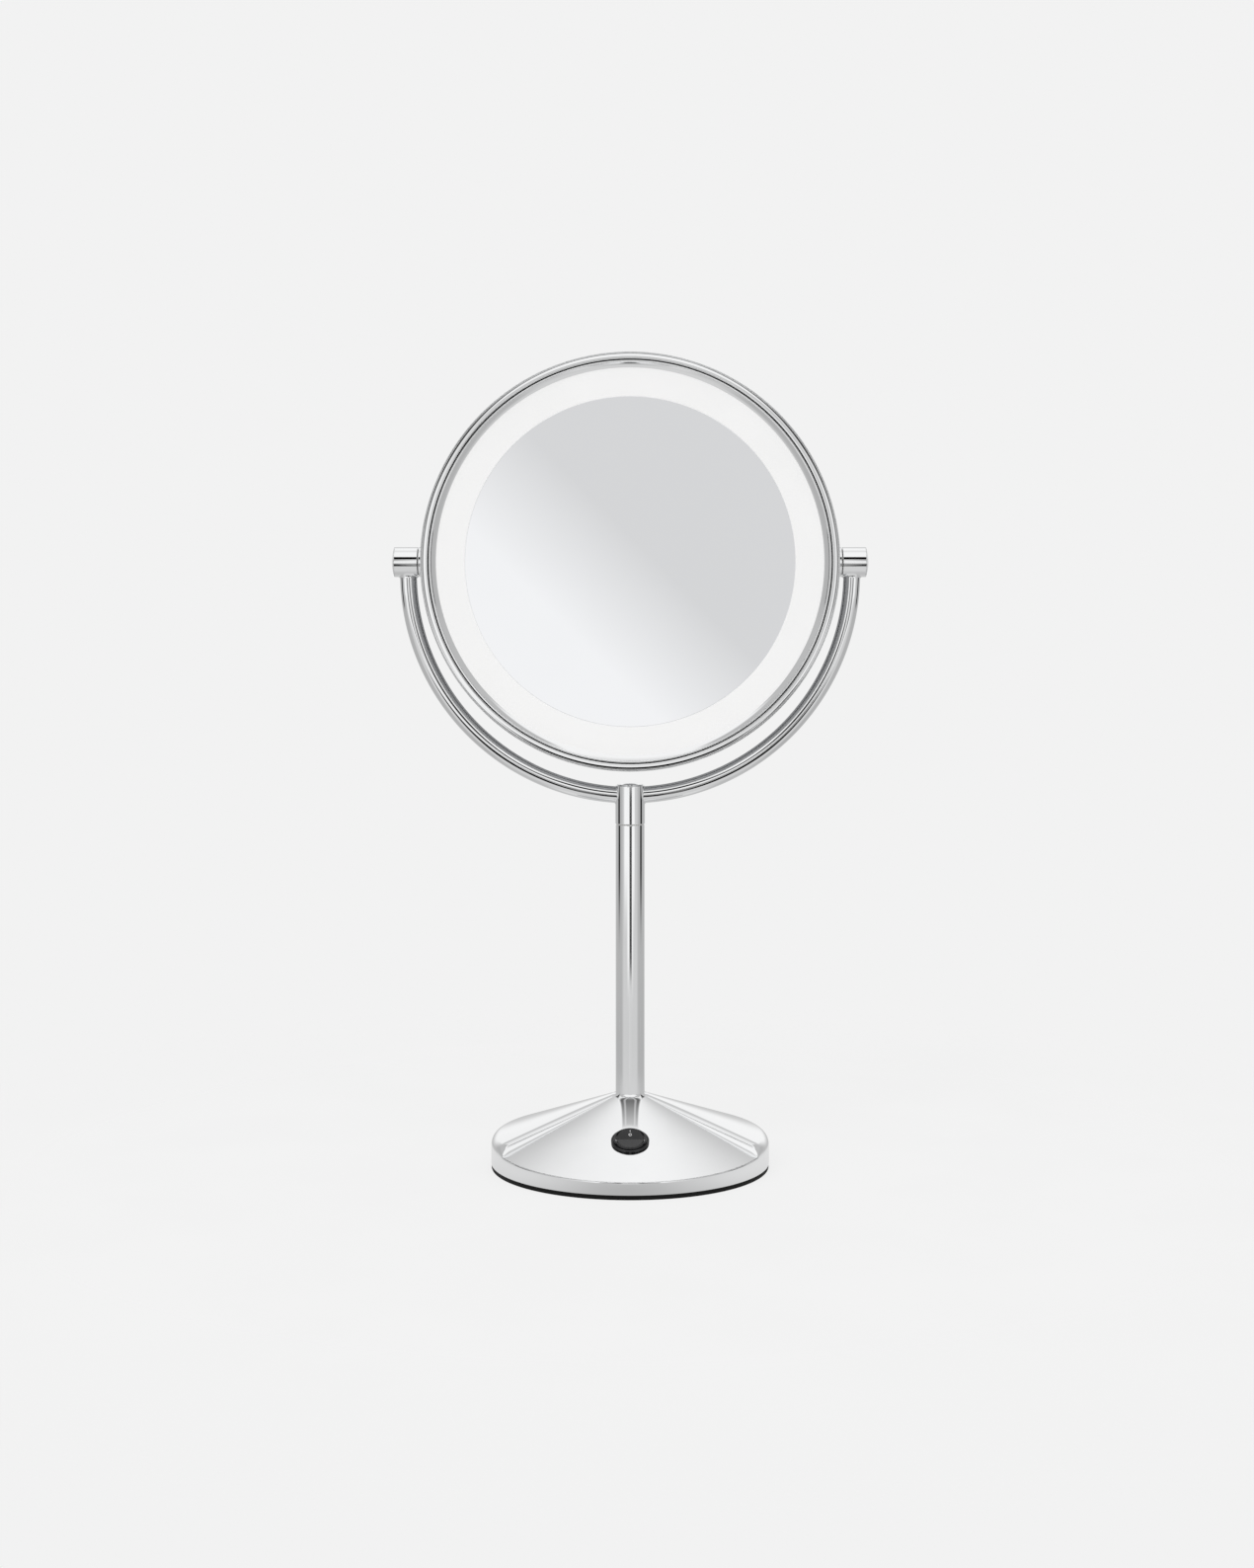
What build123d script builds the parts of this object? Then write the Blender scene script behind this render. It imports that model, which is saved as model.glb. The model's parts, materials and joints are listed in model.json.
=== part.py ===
from build123d import *
import os
from math import asin, atan, cos, degrees, radians, sin, sqrt, tan

# Lighted two-sided vanity mirror on a post, with a round battery base.
# Millimetres. +Z is up, the origin is the centre of the base's resting plane on the post's axis,
# and the front of the mirror faces -Y.

# --- Driving dimensions -------------------------------------------------------------------------
PIVOT_Z = 268.0            # height of the tilt axis, which runs along X
HEAD_RADIUS = 92.6         # outside of the chromed bezels
HEAD_HALF_DEPTH = 12.0     # half of the head's thickness, at the crest of a bezel
BEZEL_BEAD_RADIUS = 2.95   # the bezel is a half-round bead, hollow behind
BEZEL_WALL = 0.9
SKIRT_RADIUS = 89.3        # the bezel's skirt snaps into the rim band
SKIRT_BORE_RADIUS = 87.6
SKIRT_END_Y = 5.0
MIRROR_RADIUS = 72.9       # silvered disc
GLASS = 3.0                # front glass thickness
YOKE_RADIUS = 98.5         # centreline of the yoke tube
YOKE_CENTRE_Z = 263.0      # centre of the yoke's arc
YOKE_TUBE_RADIUS = 3.75
YOKE_BORE_RADIUS = 2.75
BARREL_RADIUS = 6.7        # pivot barrels at the ends of the yoke
HUB_RADIUS = 6.55
HUB_TOP_Z = 169.0
SEAM_Z = 151.4             # top of the post, where the yoke swivels
POST_RADIUS = 6.4
POST_BORE_RADIUS = 5.4
POST_FOOT_Z = 31.7         # top of the base's flat, where the post stands
BASE_RADIUS = 61.6
BASE_WALL = 2.2
CLEARANCE = 0.05           # radial clearance of pieces that fit into each other

# --- Base dimensions ----------------------------------------------------------------------------
DOME_APEX_Z = 34.4         # the dome's cone would end here, inside the post
DOME_SLOPE = 0.338
DOME_SHOULDER_RADIUS = 5.0
FACET_CONE_ANGLE = 20.4    # slope of the sunken front facet, a cone in degrees
FACET_TILT = 3.3           # the facet's cone leans forward by this angle
FACET_HALF_ANGLE = 64.0    # half of the facet's sector, seen from above
FACET_WALL_LEAN = 50.0     # lean of the facet's side walls from upright
FOOT_RING_HEIGHT = 1.5
FOOT_RING_BORE_RADIUS = 55.7
FOOT_RING_INSET = 0.3      # the rubber ring stands this far inside the cover's edge
SHELL_FOOT_Z = 1.95        # lower edge of the cover, on the rubber ring's lip
PLATE_THICKNESS = 2.4
PLATE_TOP_Z = FOOT_RING_HEIGHT + PLATE_THICKNESS
PLATE_RADIUS = 59.0
BASE_SCREW_CIRCLE = 52.3   # the four screws of the base plate stand on this radius
SCREW_BOSS_RADIUS = 3.2
SCREW_PILOT_RADIUS = 1.25
BALLAST_RADIUS = 57.0
BALLAST_BORE_RADIUS = 47.2
BALLAST_TOP_Z = 6.9

# --- Batteries ----------------------------------------------------------------------------------
CELL_RADIUS = 7.1
CELL_LENGTH = 49.2
CELL_NUB_RADIUS = 2.75
CELL_NUB_LENGTH = 1.3
CELL_PITCH = 15.0
CELL_COUNT = 4
CELL_Z = 10.45
BAY_RADIUS = 7.35
BAY_FRONT_Y = -23.5
BAY_BACK_Y = 30.9
HOLDER_WALL = 0.9
HOLDER_END_WALL = 1.0
CONTACT_THICKNESS = 0.4
HOLDER_SCREW_X = 44.3
COVER_CENTRE_Y = 2.75
COVER_RADIUS = 40.0
COVER_LUG_RADIUS = 43.5
COVER_LUG_HALF_ANGLE = 11.0
COVER_TURN = 25.0

# --- Switch -------------------------------------------------------------------------------------
SWITCH_FORWARD = 35.8      # distance of the switch in front of the post's axis
SWITCH_BEZEL_RADIUS = 8.2
SWITCH_BODY_RADIUS = 7.2
SWITCH_OPENING_RADIUS = 6.35
SWITCH_DEPTH = 9.5
ROCKER_RADIUS = 5.85
ROCKER_REST_TILT = 8.0     # the rocker rests on one stop, this far from level
ROCKER_FACE_ANGLE = 9.0
ROCKER_FACE_Z = 1.4        # bottom of the face's shallow V
ROCKER_END_RADIUS = 6.05   # the ends of the rocker follow this radius about its pin
ROCKER_PIN_RADIUS = 0.93
ROCKER_BORE_RADIUS = 1.0

# --- Post fixing and swivel ---------------------------------------------------------------------
NIPPLE_RADIUS = 4.9        # hollow stud that holds the post to the base
NIPPLE_BORE_RADIUS = 3.0
NIPPLE_TOP_Z = 45.0
NIPPLE_FOOT_Z = 20.3
SPINDLE_RADIUS = 4.0       # hollow spindle of the yoke, in the post's top
SPINDLE_BORE_RADIUS = 2.6
SPINDLE_FOOT_Z = 131.5
SPINDLE_TOP_Z = 159.5

# --- Head internals -----------------------------------------------------------------------------
BAND_RADIUS = 92.0
BAND_BORE_RADIUS = 89.4
BAND_HALF_WIDTH = 8.7
LIGHT_FACE_Y = 8.75        # outer faces of the light rings and of the front glass
LIGHT_RING_BORE_RADIUS = 73.05
LIGHT_RING_RADIUS = 87.3
LIGHT_RING_THICKNESS = 2.0
CHASSIS_HALF_THICKNESS = 0.8
BOARD_THICKNESS = 1.6
LED_COUNT = 24
LED_CIRCLE_RADIUS = 80.5
REAR_MIRROR_CURVATURE = 620.0   # radius of the magnifying face
REAR_GLASS = 2.4
BOARD_RADIUS = 86.0
BOARD_BORE_RADIUS = 75.0
BOARD_SCREW_CIRCLE = 77.5
PIVOT_NOTCH_X = 79.5       # the chassis and the boards leave room for the pivot pins outside this

# --- Pivot --------------------------------------------------------------------------------------
BARREL_INNER_X = 94.1
BARREL_CHAMBER_X = 97.3
BARREL_OUTER_X = 104.4
BARREL_DOME = 1.4
BARREL_CHAMBER_RADIUS = 5.2
PIN_RADIUS = 2.6
PIN_BORE_RADIUS = 1.6
PIN_END_X = 100.2
WIRE_RADIUS = 0.5
WIRE_SPREAD = 0.75         # half of the distance between the two wires of a lead

FAR = 400.0                # larger than the object, for cutting solids

facet_front_slope = tan(radians(FACET_CONE_ANGLE + FACET_TILT))
switch_z = DOME_APEX_Z - facet_front_slope * SWITCH_FORWARD
switch_lean = degrees(atan(facet_front_slope))
yoke_bottom_z = YOKE_CENTRE_Z - YOKE_RADIUS


# --- Helpers ------------------------------------------------------------------------------------
def turned(points):
    """Solid of revolution about Z from (radius, height) points."""
    profile = Plane.XZ * make_face(Polyline(*points, close=True))
    return revolve(profile, Axis.Z)


def rectangle(inner, outer, low, high):
    """Rectangle between two radii and two heights."""
    return make_face(Polyline((inner, low), (outer, low), (outer, high), (inner, high), close=True))


def ring(outer, inner, low, high):
    """Upright tube about Z."""
    return turned([(inner, low), (outer, low), (outer, high), (inner, high)])


def disc(radius, low, high):
    """Upright cylinder about Z."""
    return Pos(0, 0, low) * Cylinder(radius, high - low, align=(Align.CENTER, Align.CENTER, Align.MIN))


def head_ring(outer, inner, front, back):
    """Ring about the head's own axis, between two depths along Y."""
    return at_pivot(revolve(rectangle(inner, outer, front, back), Axis.Y))


def head_disc(radius, front, back):
    """Disc about the head's own axis, between two depths along Y."""
    return at_pivot(revolve(rectangle(0, radius, front, back), Axis.Y))


def at_pivot(shape):
    return Pos(0, 0, PIVOT_Z) * shape


def block(low, high):
    """Box between two corners."""
    size = [high[i] - low[i] for i in range(3)]
    middle = [(high[i] + low[i]) / 2 for i in range(3)]
    return Pos(*middle) * Box(*size)


def rod_x(radius, near, far):
    """Cylinder on the tilt axis, on the +X side."""
    body = Cylinder(radius, far - near, align=(Align.CENTER, Align.CENTER, Align.MIN))
    return Pos(near, 0, PIVOT_Z) * Rot(0, 90, 0) * body


def mirrored(shape):
    """The same piece on the -X side."""
    return mirror(shape, Plane.YZ)


def hex_nut(radius, bore, low, high):
    body = extrude(RegularPolygon(radius, 6), high - low)
    return Pos(0, 0, low) * body - disc(bore, low - 1, high + 1)


def wire_along(path):
    """Round wire swept along a path."""
    section = Plane(path @ 0, z_dir=path % 0) * Circle(WIRE_RADIUS)
    return sweep(section, path)


def pan_screw(head_radius, head_height, shank_radius, length):
    """Screw pointing up from z = 0, with a cross slot in its head."""
    screw = disc(head_radius, 0, head_height) + disc(shank_radius, head_height, length)
    for turn in (0, 90):
        screw -= Rot(0, 0, turn) * Box(head_radius * 1.2, 0.6, head_height)
    return screw


# --- Base ---------------------------------------------------------------------------------------
def dome(inset):
    """Solid dome of the base, shrunk inwards by inset. It stands on z = SHELL_FOOT_Z."""
    radius = BASE_RADIUS - inset
    drop = inset * sqrt(1 + DOME_SLOPE ** 2)
    apex = DOME_APEX_Z - drop
    flat_z = POST_FOOT_Z - inset * 1.35
    flat_radius = (apex - flat_z) / DOME_SLOPE
    bottom = SHELL_FOOT_Z if inset == 0 else 0
    shoulder_z = apex - DOME_SLOPE * radius
    points = [(0, bottom), (radius, bottom), (radius, shoulder_z), (flat_radius, flat_z), (0, flat_z)]
    solid = turned(points)
    circles = solid.edges().filter_by(GeomType.CIRCLE)
    rim = [edge for edge in circles if edge.radius > radius - 0.01 and edge.center().Z > bottom + 1]
    return fillet(rim, max(DOME_SHOULDER_RADIUS - inset, 1.0))


def above_facet(drop, widen):
    """Space above the front facet, lowered by drop, with its side walls moved out by widen."""
    height = FAR * tan(radians(FACET_CONE_ANGLE))
    under = Cone(FAR, 0.001, height, align=(Align.CENTER, Align.CENTER, Align.MAX))
    under = Pos(0, 0, DOME_APEX_Z - drop) * Rot(FACET_TILT, 0, 0) * under
    space = Box(FAR, FAR, 60, align=(Align.CENTER, Align.CENTER, Align.MIN)) - under
    for side in (-1, 1):
        azimuth = radians(FACET_HALF_ANGLE)
        fall = tan(radians(FACET_CONE_ANGLE + FACET_TILT * cos(azimuth)))
        run = Vector(side * sin(azimuth), -cos(azimuth), -fall)
        out = Vector(side * cos(azimuth), sin(azimuth), 0)
        lean = radians(FACET_WALL_LEAN)
        rise = out * sin(lean) + Vector(0, 0, cos(lean))
        normal = run.cross(rise) * side
        origin = Vector(0, 0, DOME_APEX_Z - drop) + out * widen
        if normal.dot(out) < 0:
            normal = normal * -1
        wall = Plane(origin=origin, x_dir=run, z_dir=normal)
        space -= wall * Box(FAR, FAR, FAR, align=(Align.CENTER, Align.CENTER, Align.MIN))
    return space


def switch_place():
    """Frame of the switch: its Z is square to the facet, and its X is the object's X."""
    return Pos(0, -SWITCH_FORWARD, switch_z) * Rot(switch_lean, 0, 0)


def around(circle_radius):
    """Four places on a circle, between the axes."""
    return [(circle_radius * cos(radians(a)), circle_radius * sin(radians(a))) for a in (45, 135, 225, 315)]


screw_places = around(BASE_SCREW_CIRCLE)


def make_base_shell():
    outside = dome(0) - above_facet(0, 0)
    inside = dome(BASE_WALL) - above_facet(BASE_WALL * 1.08, 1.2)
    shell = outside - inside
    for x, y in screw_places:
        boss = Pos(x, y, 0) * disc(SCREW_BOSS_RADIUS, PLATE_TOP_Z + 0.1, 30)
        shell += boss & dome(0.5) - above_facet(0.5, 0)
        shell -= Pos(x, y, 0) * disc(SCREW_PILOT_RADIUS, 0, 9.2)
    shell -= disc(NIPPLE_RADIUS + CLEARANCE, 20, 40)
    shell -= switch_place() * disc(SWITCH_BODY_RADIUS + CLEARANCE, -8, 8)
    return shell


def make_base_plate():
    plate = disc(PLATE_RADIUS, FOOT_RING_HEIGHT, PLATE_TOP_Z)
    plate -= Pos(0, COVER_CENTRE_Y, 0) * disc(COVER_RADIUS + 0.3, 0, 10)
    for x, y in screw_places:
        plate -= Pos(x, y, 0) * disc(1.4, 0, 10)
        plate -= Pos(x, y, 0) * disc(2.8, 0, FOOT_RING_HEIGHT + 1.3)
    for side in (-1, 1):
        plate -= Pos(side * HOLDER_SCREW_X, COVER_CENTRE_Y, 0) * disc(1.1, 2.0, 10)
    for turn in (90, 270):
        plate -= lug(turn + COVER_TURN, COVER_RADIUS - 3, COVER_LUG_RADIUS + 0.3, 0, 10, 1.2)
    return plate


def lug(turn, inner, outer, low, high, widen=0.0):
    """Sector of a ring about the battery cover's axis, centred on the angle turn."""
    half = COVER_LUG_HALF_ANGLE + widen
    sector = revolve(Plane.XZ * rectangle(inner, outer, low, high), Axis.Z, revolution_arc=2 * half)
    return Pos(0, COVER_CENTRE_Y, 0) * Rot(0, 0, turn - half) * sector


def make_battery_cover():
    cover = disc(COVER_RADIUS, FOOT_RING_HEIGHT + 0.1, PLATE_TOP_Z - 0.1)
    cover -= disc(COVER_RADIUS - 4, 3.0, 10)
    grip = block((-16, -2.5, 0.6), (16, 2.5, FOOT_RING_HEIGHT + 0.2))
    grip = fillet(grip.edges().filter_by(Axis.Z), 2.4)
    cover = Pos(0, COVER_CENTRE_Y, 0) * (cover + grip)
    for turn in (90, 270):
        cover += lug(turn, COVER_RADIUS - 3.5, COVER_RADIUS - 0.1, 3.0, 4.05)
        cover += lug(turn, COVER_RADIUS - 3.5, COVER_LUG_RADIUS, PLATE_TOP_Z + 0.1, 5.2)
    return cover


def make_foot_ring():
    """Rubber ring under the base, with a lip below the cover's edge and a groove underneath."""
    outer = BASE_RADIUS - FOOT_RING_INSET
    body = ring(outer, FOOT_RING_BORE_RADIUS, 0, FOOT_RING_HEIGHT)
    body += ring(outer, BASE_RADIUS - BASE_WALL, FOOT_RING_HEIGHT - 0.1, SHELL_FOOT_Z - 0.02)
    groove = ring(59.2, 58.2, -1, 0.4)
    return body - groove


def make_ballast_ring():
    body = ring(BALLAST_RADIUS, BALLAST_BORE_RADIUS, PLATE_TOP_Z + 0.1, BALLAST_TOP_Z)
    for x, y in screw_places:
        body -= Pos(x, y, 0) * disc(3.8, 0, 10)
    return body


cell_xs = [(i - (CELL_COUNT - 1) / 2) * CELL_PITCH for i in range(CELL_COUNT)]


def along_y(radius, x, front, back, z=CELL_Z):
    body = Cylinder(radius, back - front, align=(Align.CENTER, Align.CENTER, Align.MAX))
    return Pos(x, front, z) * Rot(90, 0, 0) * body


def make_battery_holder():
    outer_radius = BAY_RADIUS + HOLDER_WALL
    front = BAY_FRONT_Y - HOLDER_END_WALL
    back = BAY_BACK_Y + HOLDER_END_WALL
    edge = cell_xs[-1] + outer_radius
    holder = block((-edge, front, PLATE_TOP_Z + 0.4), (edge, back, CELL_Z))
    for x in cell_xs:
        holder += along_y(outer_radius, x, front, back)
    holder -= block((-edge, front, 0), (edge, back, PLATE_TOP_Z + 0.4))
    inner_edge = cell_xs[-1] + BAY_RADIUS
    holder -= block((-inner_edge, BAY_FRONT_Y, 0), (inner_edge, BAY_BACK_Y, 8.0))
    for x in cell_xs:
        holder -= along_y(BAY_RADIUS, x, BAY_FRONT_Y, BAY_BACK_Y)
    for side in (-1, 1):
        arm = block((edge - 0.5, -1.3, 4.5), (46.4, 6.8, 7.0))
        arm += block((42.2, -1.3, PLATE_TOP_Z + 0.05), (46.4, 6.8, 7.0))
        arm -= Pos(HOLDER_SCREW_X, COVER_CENTRE_Y, 0) * disc(1.15, 0, 10)
        holder += arm if side > 0 else mirrored(arm)
    return holder - above_facet(BASE_WALL * 1.08 + 0.35, 1.2)


def cell_points_back(index):
    """True where the cell's positive end is at the back."""
    return index % 2 == 0


def make_batteries():
    cells = []
    for index, x in enumerate(cell_xs):
        gap = CONTACT_THICKNESS + CLEARANCE
        if cell_points_back(index):
            tip = BAY_BACK_Y - gap
            body = along_y(CELL_RADIUS, x, tip - CELL_NUB_LENGTH - CELL_LENGTH, tip - CELL_NUB_LENGTH)
            nub = along_y(CELL_NUB_RADIUS, x, tip - CELL_NUB_LENGTH - 0.5, tip)
        else:
            tip = BAY_FRONT_Y + gap
            body = along_y(CELL_RADIUS, x, tip + CELL_NUB_LENGTH, tip + CELL_NUB_LENGTH + CELL_LENGTH)
            nub = along_y(CELL_NUB_RADIUS, x, tip, tip + CELL_NUB_LENGTH + 0.5)
        cells.append(body + nub)
    return cells


def make_battery_contacts():
    plates = []
    half = 4.5
    for x in cell_xs:
        for near in (BAY_FRONT_Y + 0.02, BAY_BACK_Y - CONTACT_THICKNESS - 0.02):
            low = (x - half, near, CELL_Z - half)
            plates.append(block(low, (x + half, near + CONTACT_THICKNESS, CELL_Z + half)))
    return plates


def make_battery_springs():
    """A short coil behind each cell's negative end."""
    springs = []
    gap = CONTACT_THICKNESS + CLEARANCE
    room = BAY_BACK_Y - BAY_FRONT_Y - 2 * gap - CELL_LENGTH - CELL_NUB_LENGTH
    wire = 0.35
    for index, x in enumerate(cell_xs):
        coil = Helix(pitch=0.9, height=room - 2 * wire - 0.3, radius=3.6)
        section = Plane(coil @ 0, z_dir=coil % 0) * Circle(wire)
        spring = sweep(section, coil)
        if cell_points_back(index):
            start = BAY_FRONT_Y + gap + wire + 0.1
        else:
            start = BAY_BACK_Y - gap - room + wire + 0.15
        springs.append(Pos(x, start, CELL_Z) * Rot(-90, 0, 0) * spring)
    return springs


def make_base_screws():
    screw = pan_screw(2.6, 1.2, 1.15, 7.4)
    return [Pos(x, y, FOOT_RING_HEIGHT + 0.05) * screw for x, y in screw_places]


def make_holder_screws():
    screw = Pos(0, 0, 8.25) * Rot(180, 0, 0) * pan_screw(2.0, 1.2, 1.05, 5.4)
    return [Pos(side * HOLDER_SCREW_X, COVER_CENTRE_Y, 0) * screw for side in (-1, 1)]


# --- Switch -------------------------------------------------------------------------------------
def make_switch_housing():
    """Round bezel with a stepped ring, and the body that snaps into the base."""
    opening = SWITCH_OPENING_RADIUS
    chamber = SWITCH_BODY_RADIUS - 0.55
    points = [
        (opening, -1.2), (chamber, -1.2), (chamber, -SWITCH_DEPTH + 1.2),
        (0, -SWITCH_DEPTH + 1.2), (0, -SWITCH_DEPTH), (SWITCH_BODY_RADIUS, -SWITCH_DEPTH),
        (SWITCH_BODY_RADIUS, 0.15), (SWITCH_BEZEL_RADIUS, 0.15), (SWITCH_BEZEL_RADIUS, 0.75),
        (SWITCH_BEZEL_RADIUS - 0.45, 1.25), (SWITCH_BEZEL_RADIUS - 0.95, 1.25), (opening + 0.55, 1.95),
        (opening, 1.95)]
    return switch_place() * turned(points)


def make_rocker():
    """Round rocker with a shallow V face. It rests tilted, with its front half pressed down."""
    body = disc(ROCKER_RADIUS, -4.2, 6)
    body &= Rot(0, 90, 0) * Cylinder(ROCKER_END_RADIUS, 20)
    for side in (-1, 1):
        half = Box(20, 20, 10, align=(Align.CENTER, Align.MIN, Align.MIN))
        facet = Pos(0, 0, ROCKER_FACE_Z) * Rot(ROCKER_FACE_ANGLE, 0, 0) * half
        body -= facet if side > 0 else mirror(facet, Plane.XZ)
    body -= Rot(0, 90, 0) * Cylinder(ROCKER_BORE_RADIUS, 20)
    return switch_place() * Rot(ROCKER_REST_TILT, 0, 0) * body


def make_rocker_pin():
    return switch_place() * Rot(0, 90, 0) * Cylinder(ROCKER_PIN_RADIUS, 2 * (SWITCH_BODY_RADIUS - 0.6))


def make_switch_terminals():
    tabs = []
    for x in (-3.0, 3.0):
        tab = block((x - 1.6, -0.4, -SWITCH_DEPTH - 3.6), (x + 1.6, 0.4, -SWITCH_DEPTH - 0.02))
        tabs.append(switch_place() * tab)
    return tabs


# --- Post and its fixing ------------------------------------------------------------------------
def make_post_tube():
    low = POST_FOOT_Z + 0.02
    return turned([
        (POST_BORE_RADIUS, low), (POST_RADIUS - 0.3, low), (POST_RADIUS, low + 0.3),
        (POST_RADIUS, SEAM_Z - 0.2), (POST_RADIUS - 0.2, SEAM_Z), (POST_BORE_RADIUS, SEAM_Z)])


def make_threaded_nipple():
    """Hollow stud with a thread of shallow grooves at its lower end."""
    stud = ring(NIPPLE_RADIUS, NIPPLE_BORE_RADIUS, NIPPLE_FOOT_Z, NIPPLE_TOP_Z)
    for turn in range(6):
        groove_z = NIPPLE_FOOT_Z + 0.7 + turn
        stud -= ring(NIPPLE_RADIUS + 1, NIPPLE_RADIUS - 0.3, groove_z, groove_z + 0.4)
    return stud


def make_post_foot_plug():
    low = POST_FOOT_Z + 0.05
    return ring(POST_BORE_RADIUS - CLEARANCE, NIPPLE_RADIUS + CLEARANCE, low, NIPPLE_TOP_Z - 1)


def make_foot_nut():
    return hex_nut(9.0, NIPPLE_RADIUS + CLEARANCE, 22.4, 26.6)


def make_foot_washer():
    return ring(9.2, NIPPLE_RADIUS + CLEARANCE, 26.65, 27.8)


def make_post_bush():
    return ring(POST_BORE_RADIUS - CLEARANCE, SPINDLE_RADIUS + CLEARANCE, 137.4, SEAM_Z - 0.05)


def make_swivel_washer():
    return ring(POST_RADIUS - 0.3, SPINDLE_RADIUS + 0.15, SEAM_Z + 0.02, SEAM_Z + 0.28)


# --- Yoke ---------------------------------------------------------------------------------------
def yoke_torus(radius, start, end, centreline=YOKE_RADIUS, y=0.0):
    """Right-hand part of a torus about the yoke's centre, between two angles up from its lowest point."""
    section = Plane.YZ * Pos(y, -centreline) * Circle(radius)
    arc = revolve(section, Axis((0, 0, 0), (0, 1, 0)), revolution_arc=-(end - start))
    arc = Rot(0, -start, 0) * arc
    return Pos(0, 0, YOKE_CENTRE_Z) * arc


def domed_profile(start, radius, rise, spigot_radius, spigot_length):
    """Half section of a domed plug, to be turned about X."""
    edge = start + 0.25
    top = start + rise
    sphere_radius = (radius ** 2 + (top - edge) ** 2) / (2 * (top - edge))
    halfway = top - sphere_radius + sqrt(sphere_radius ** 2 - (radius / 2) ** 2)
    dome_arc = ThreePointArc((edge, radius), (halfway, radius / 2), (top, 0))
    outline = Polyline(
        (top, 0), (start - spigot_length, 0), (start - spigot_length, spigot_radius),
        (start, spigot_radius), (start, radius), (edge, radius)) + dome_arc
    return make_face(outline)


def make_right_arm():
    start = degrees(asin(4.7 / YOKE_RADIUS))
    arm = yoke_torus(YOKE_TUBE_RADIUS, start, 90) - yoke_torus(YOKE_BORE_RADIUS, start - 1, 91)
    return arm - rod_x(BARREL_CHAMBER_RADIUS + 0.2, 80, 120)


def make_right_barrel():
    barrel = rod_x(BARREL_RADIUS, BARREL_INNER_X, BARREL_OUTER_X)
    barrel = chamfer(barrel.edges().filter_by(GeomType.CIRCLE).sort_by(Axis.X)[0], 0.2)
    barrel -= rod_x(PIN_RADIUS + CLEARANCE, 90, 110)
    barrel -= rod_x(BARREL_CHAMBER_RADIUS, BARREL_CHAMBER_X, 110)
    return barrel - yoke_torus(YOKE_TUBE_RADIUS + CLEARANCE, 60, 92)


def make_right_barrel_cap():
    """Domed plug in the barrel's open end."""
    inner = BARREL_OUTER_X + 0.02
    spigot = BARREL_CHAMBER_RADIUS - CLEARANCE
    return at_pivot(revolve(domed_profile(inner, BARREL_RADIUS, BARREL_DOME, spigot, 1.5), Axis.X))


def make_hub():
    """Upright hub with a flared socket for each arm, bored for the spindle."""
    low = SEAM_Z + 0.33
    hub = turned([
        (0, low), (HUB_RADIUS - 0.2, low), (HUB_RADIUS, low + 0.2),
        (HUB_RADIUS, HUB_TOP_Z - 0.6), (HUB_RADIUS - 0.6, HUB_TOP_Z), (0, HUB_TOP_Z)])
    flare = Plane.XZ * make_face(Polyline(
        (0, 0), (0, 5.2), (6.0, 4.75), (6.9, 4.35), (7.9, 4.12), (8.6, 4.05), (8.6, 0), close=True))
    flare = revolve(flare, Axis.X)
    for side in (1, -1):
        socket = Pos(0, 0, yoke_bottom_z + 0.15) * Rot(0, -4, 0) * flare
        hub += socket if side > 0 else mirrored(socket)
    top_cut = disc(30, HUB_TOP_Z - 0.05, HUB_TOP_Z + 10)
    hub -= top_cut
    hub -= disc(SPINDLE_RADIUS + CLEARANCE, SEAM_Z, HUB_TOP_Z - 0.9)
    hub -= disc(4.6, HUB_TOP_Z - 0.95, HUB_TOP_Z + 5)
    bore = yoke_torus(YOKE_TUBE_RADIUS + CLEARANCE, 1.2, 20)
    return hub - bore - mirrored(bore)


def make_hub_cap():
    """Shallow domed cap over the hub."""
    cap = revolve(domed_profile(HUB_TOP_Z - 0.03, HUB_RADIUS - 0.75, 1.1, 4.55, 0.85), Axis.X)
    return Rot(0, -90, 0) * cap


def make_swivel_spindle():
    return ring(SPINDLE_RADIUS, SPINDLE_BORE_RADIUS, SPINDLE_FOOT_Z, SPINDLE_TOP_Z)


def make_spindle_nut():
    return hex_nut(5.15, SPINDLE_RADIUS + CLEARANCE, 132.4, 136.4)


def make_spindle_spring_washer():
    return ring(5.2, SPINDLE_RADIUS + CLEARANCE, 136.5, 137.25)


def make_arm_wires():
    """Lead from the spindle's lower end through the hub and the right arm to the pivot."""
    wires = []
    line = YOKE_RADIUS + 1.6
    for side in (-1, 1):
        y = side * WIRE_SPREAD
        bottom_z = YOKE_CENTRE_Z - line
        start = degrees(asin(6.0 / line))
        turn_point = (line * sin(radians(start)), y, YOKE_CENTRE_Z - line * cos(radians(start)))
        slope = tan(radians(start))
        elbow = (1.0, y, turn_point[2] - slope * (turn_point[0] - 1.0))
        down = FilletPolyline((1.0, y, 132.0), elbow, turn_point, radius=2.2)
        arc = CenterArc((0, 0, 0), line, -90 + start, 90 - start)
        arc = Pos(0, y, YOKE_CENTRE_Z) * Rot(90, 0, 0) * arc
        top = (line, y, YOKE_CENTRE_Z)
        up = FilletPolyline(
            top, (line, y, YOKE_CENTRE_Z + 1.2), (101.6, y, YOKE_CENTRE_Z + 3.0),
            (101.6, y, PIVOT_Z), (100.75, y, PIVOT_Z), radius=0.65)
        for piece in (down, arc, up):
            wires.append(wire_along(piece))
    return [wires[0] + wires[1] + wires[2], wires[3] + wires[4] + wires[5]]


# --- Pivots -------------------------------------------------------------------------------------
def make_right_pivot_boss():
    """Collar between the head's rim and the barrel."""
    boss = rod_x(BARREL_RADIUS, 90, 93.75) - head_disc(BAND_RADIUS + 0.02, -20, 20)
    return boss - rod_x(PIN_RADIUS + CLEARANCE, 80, 100)


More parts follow.
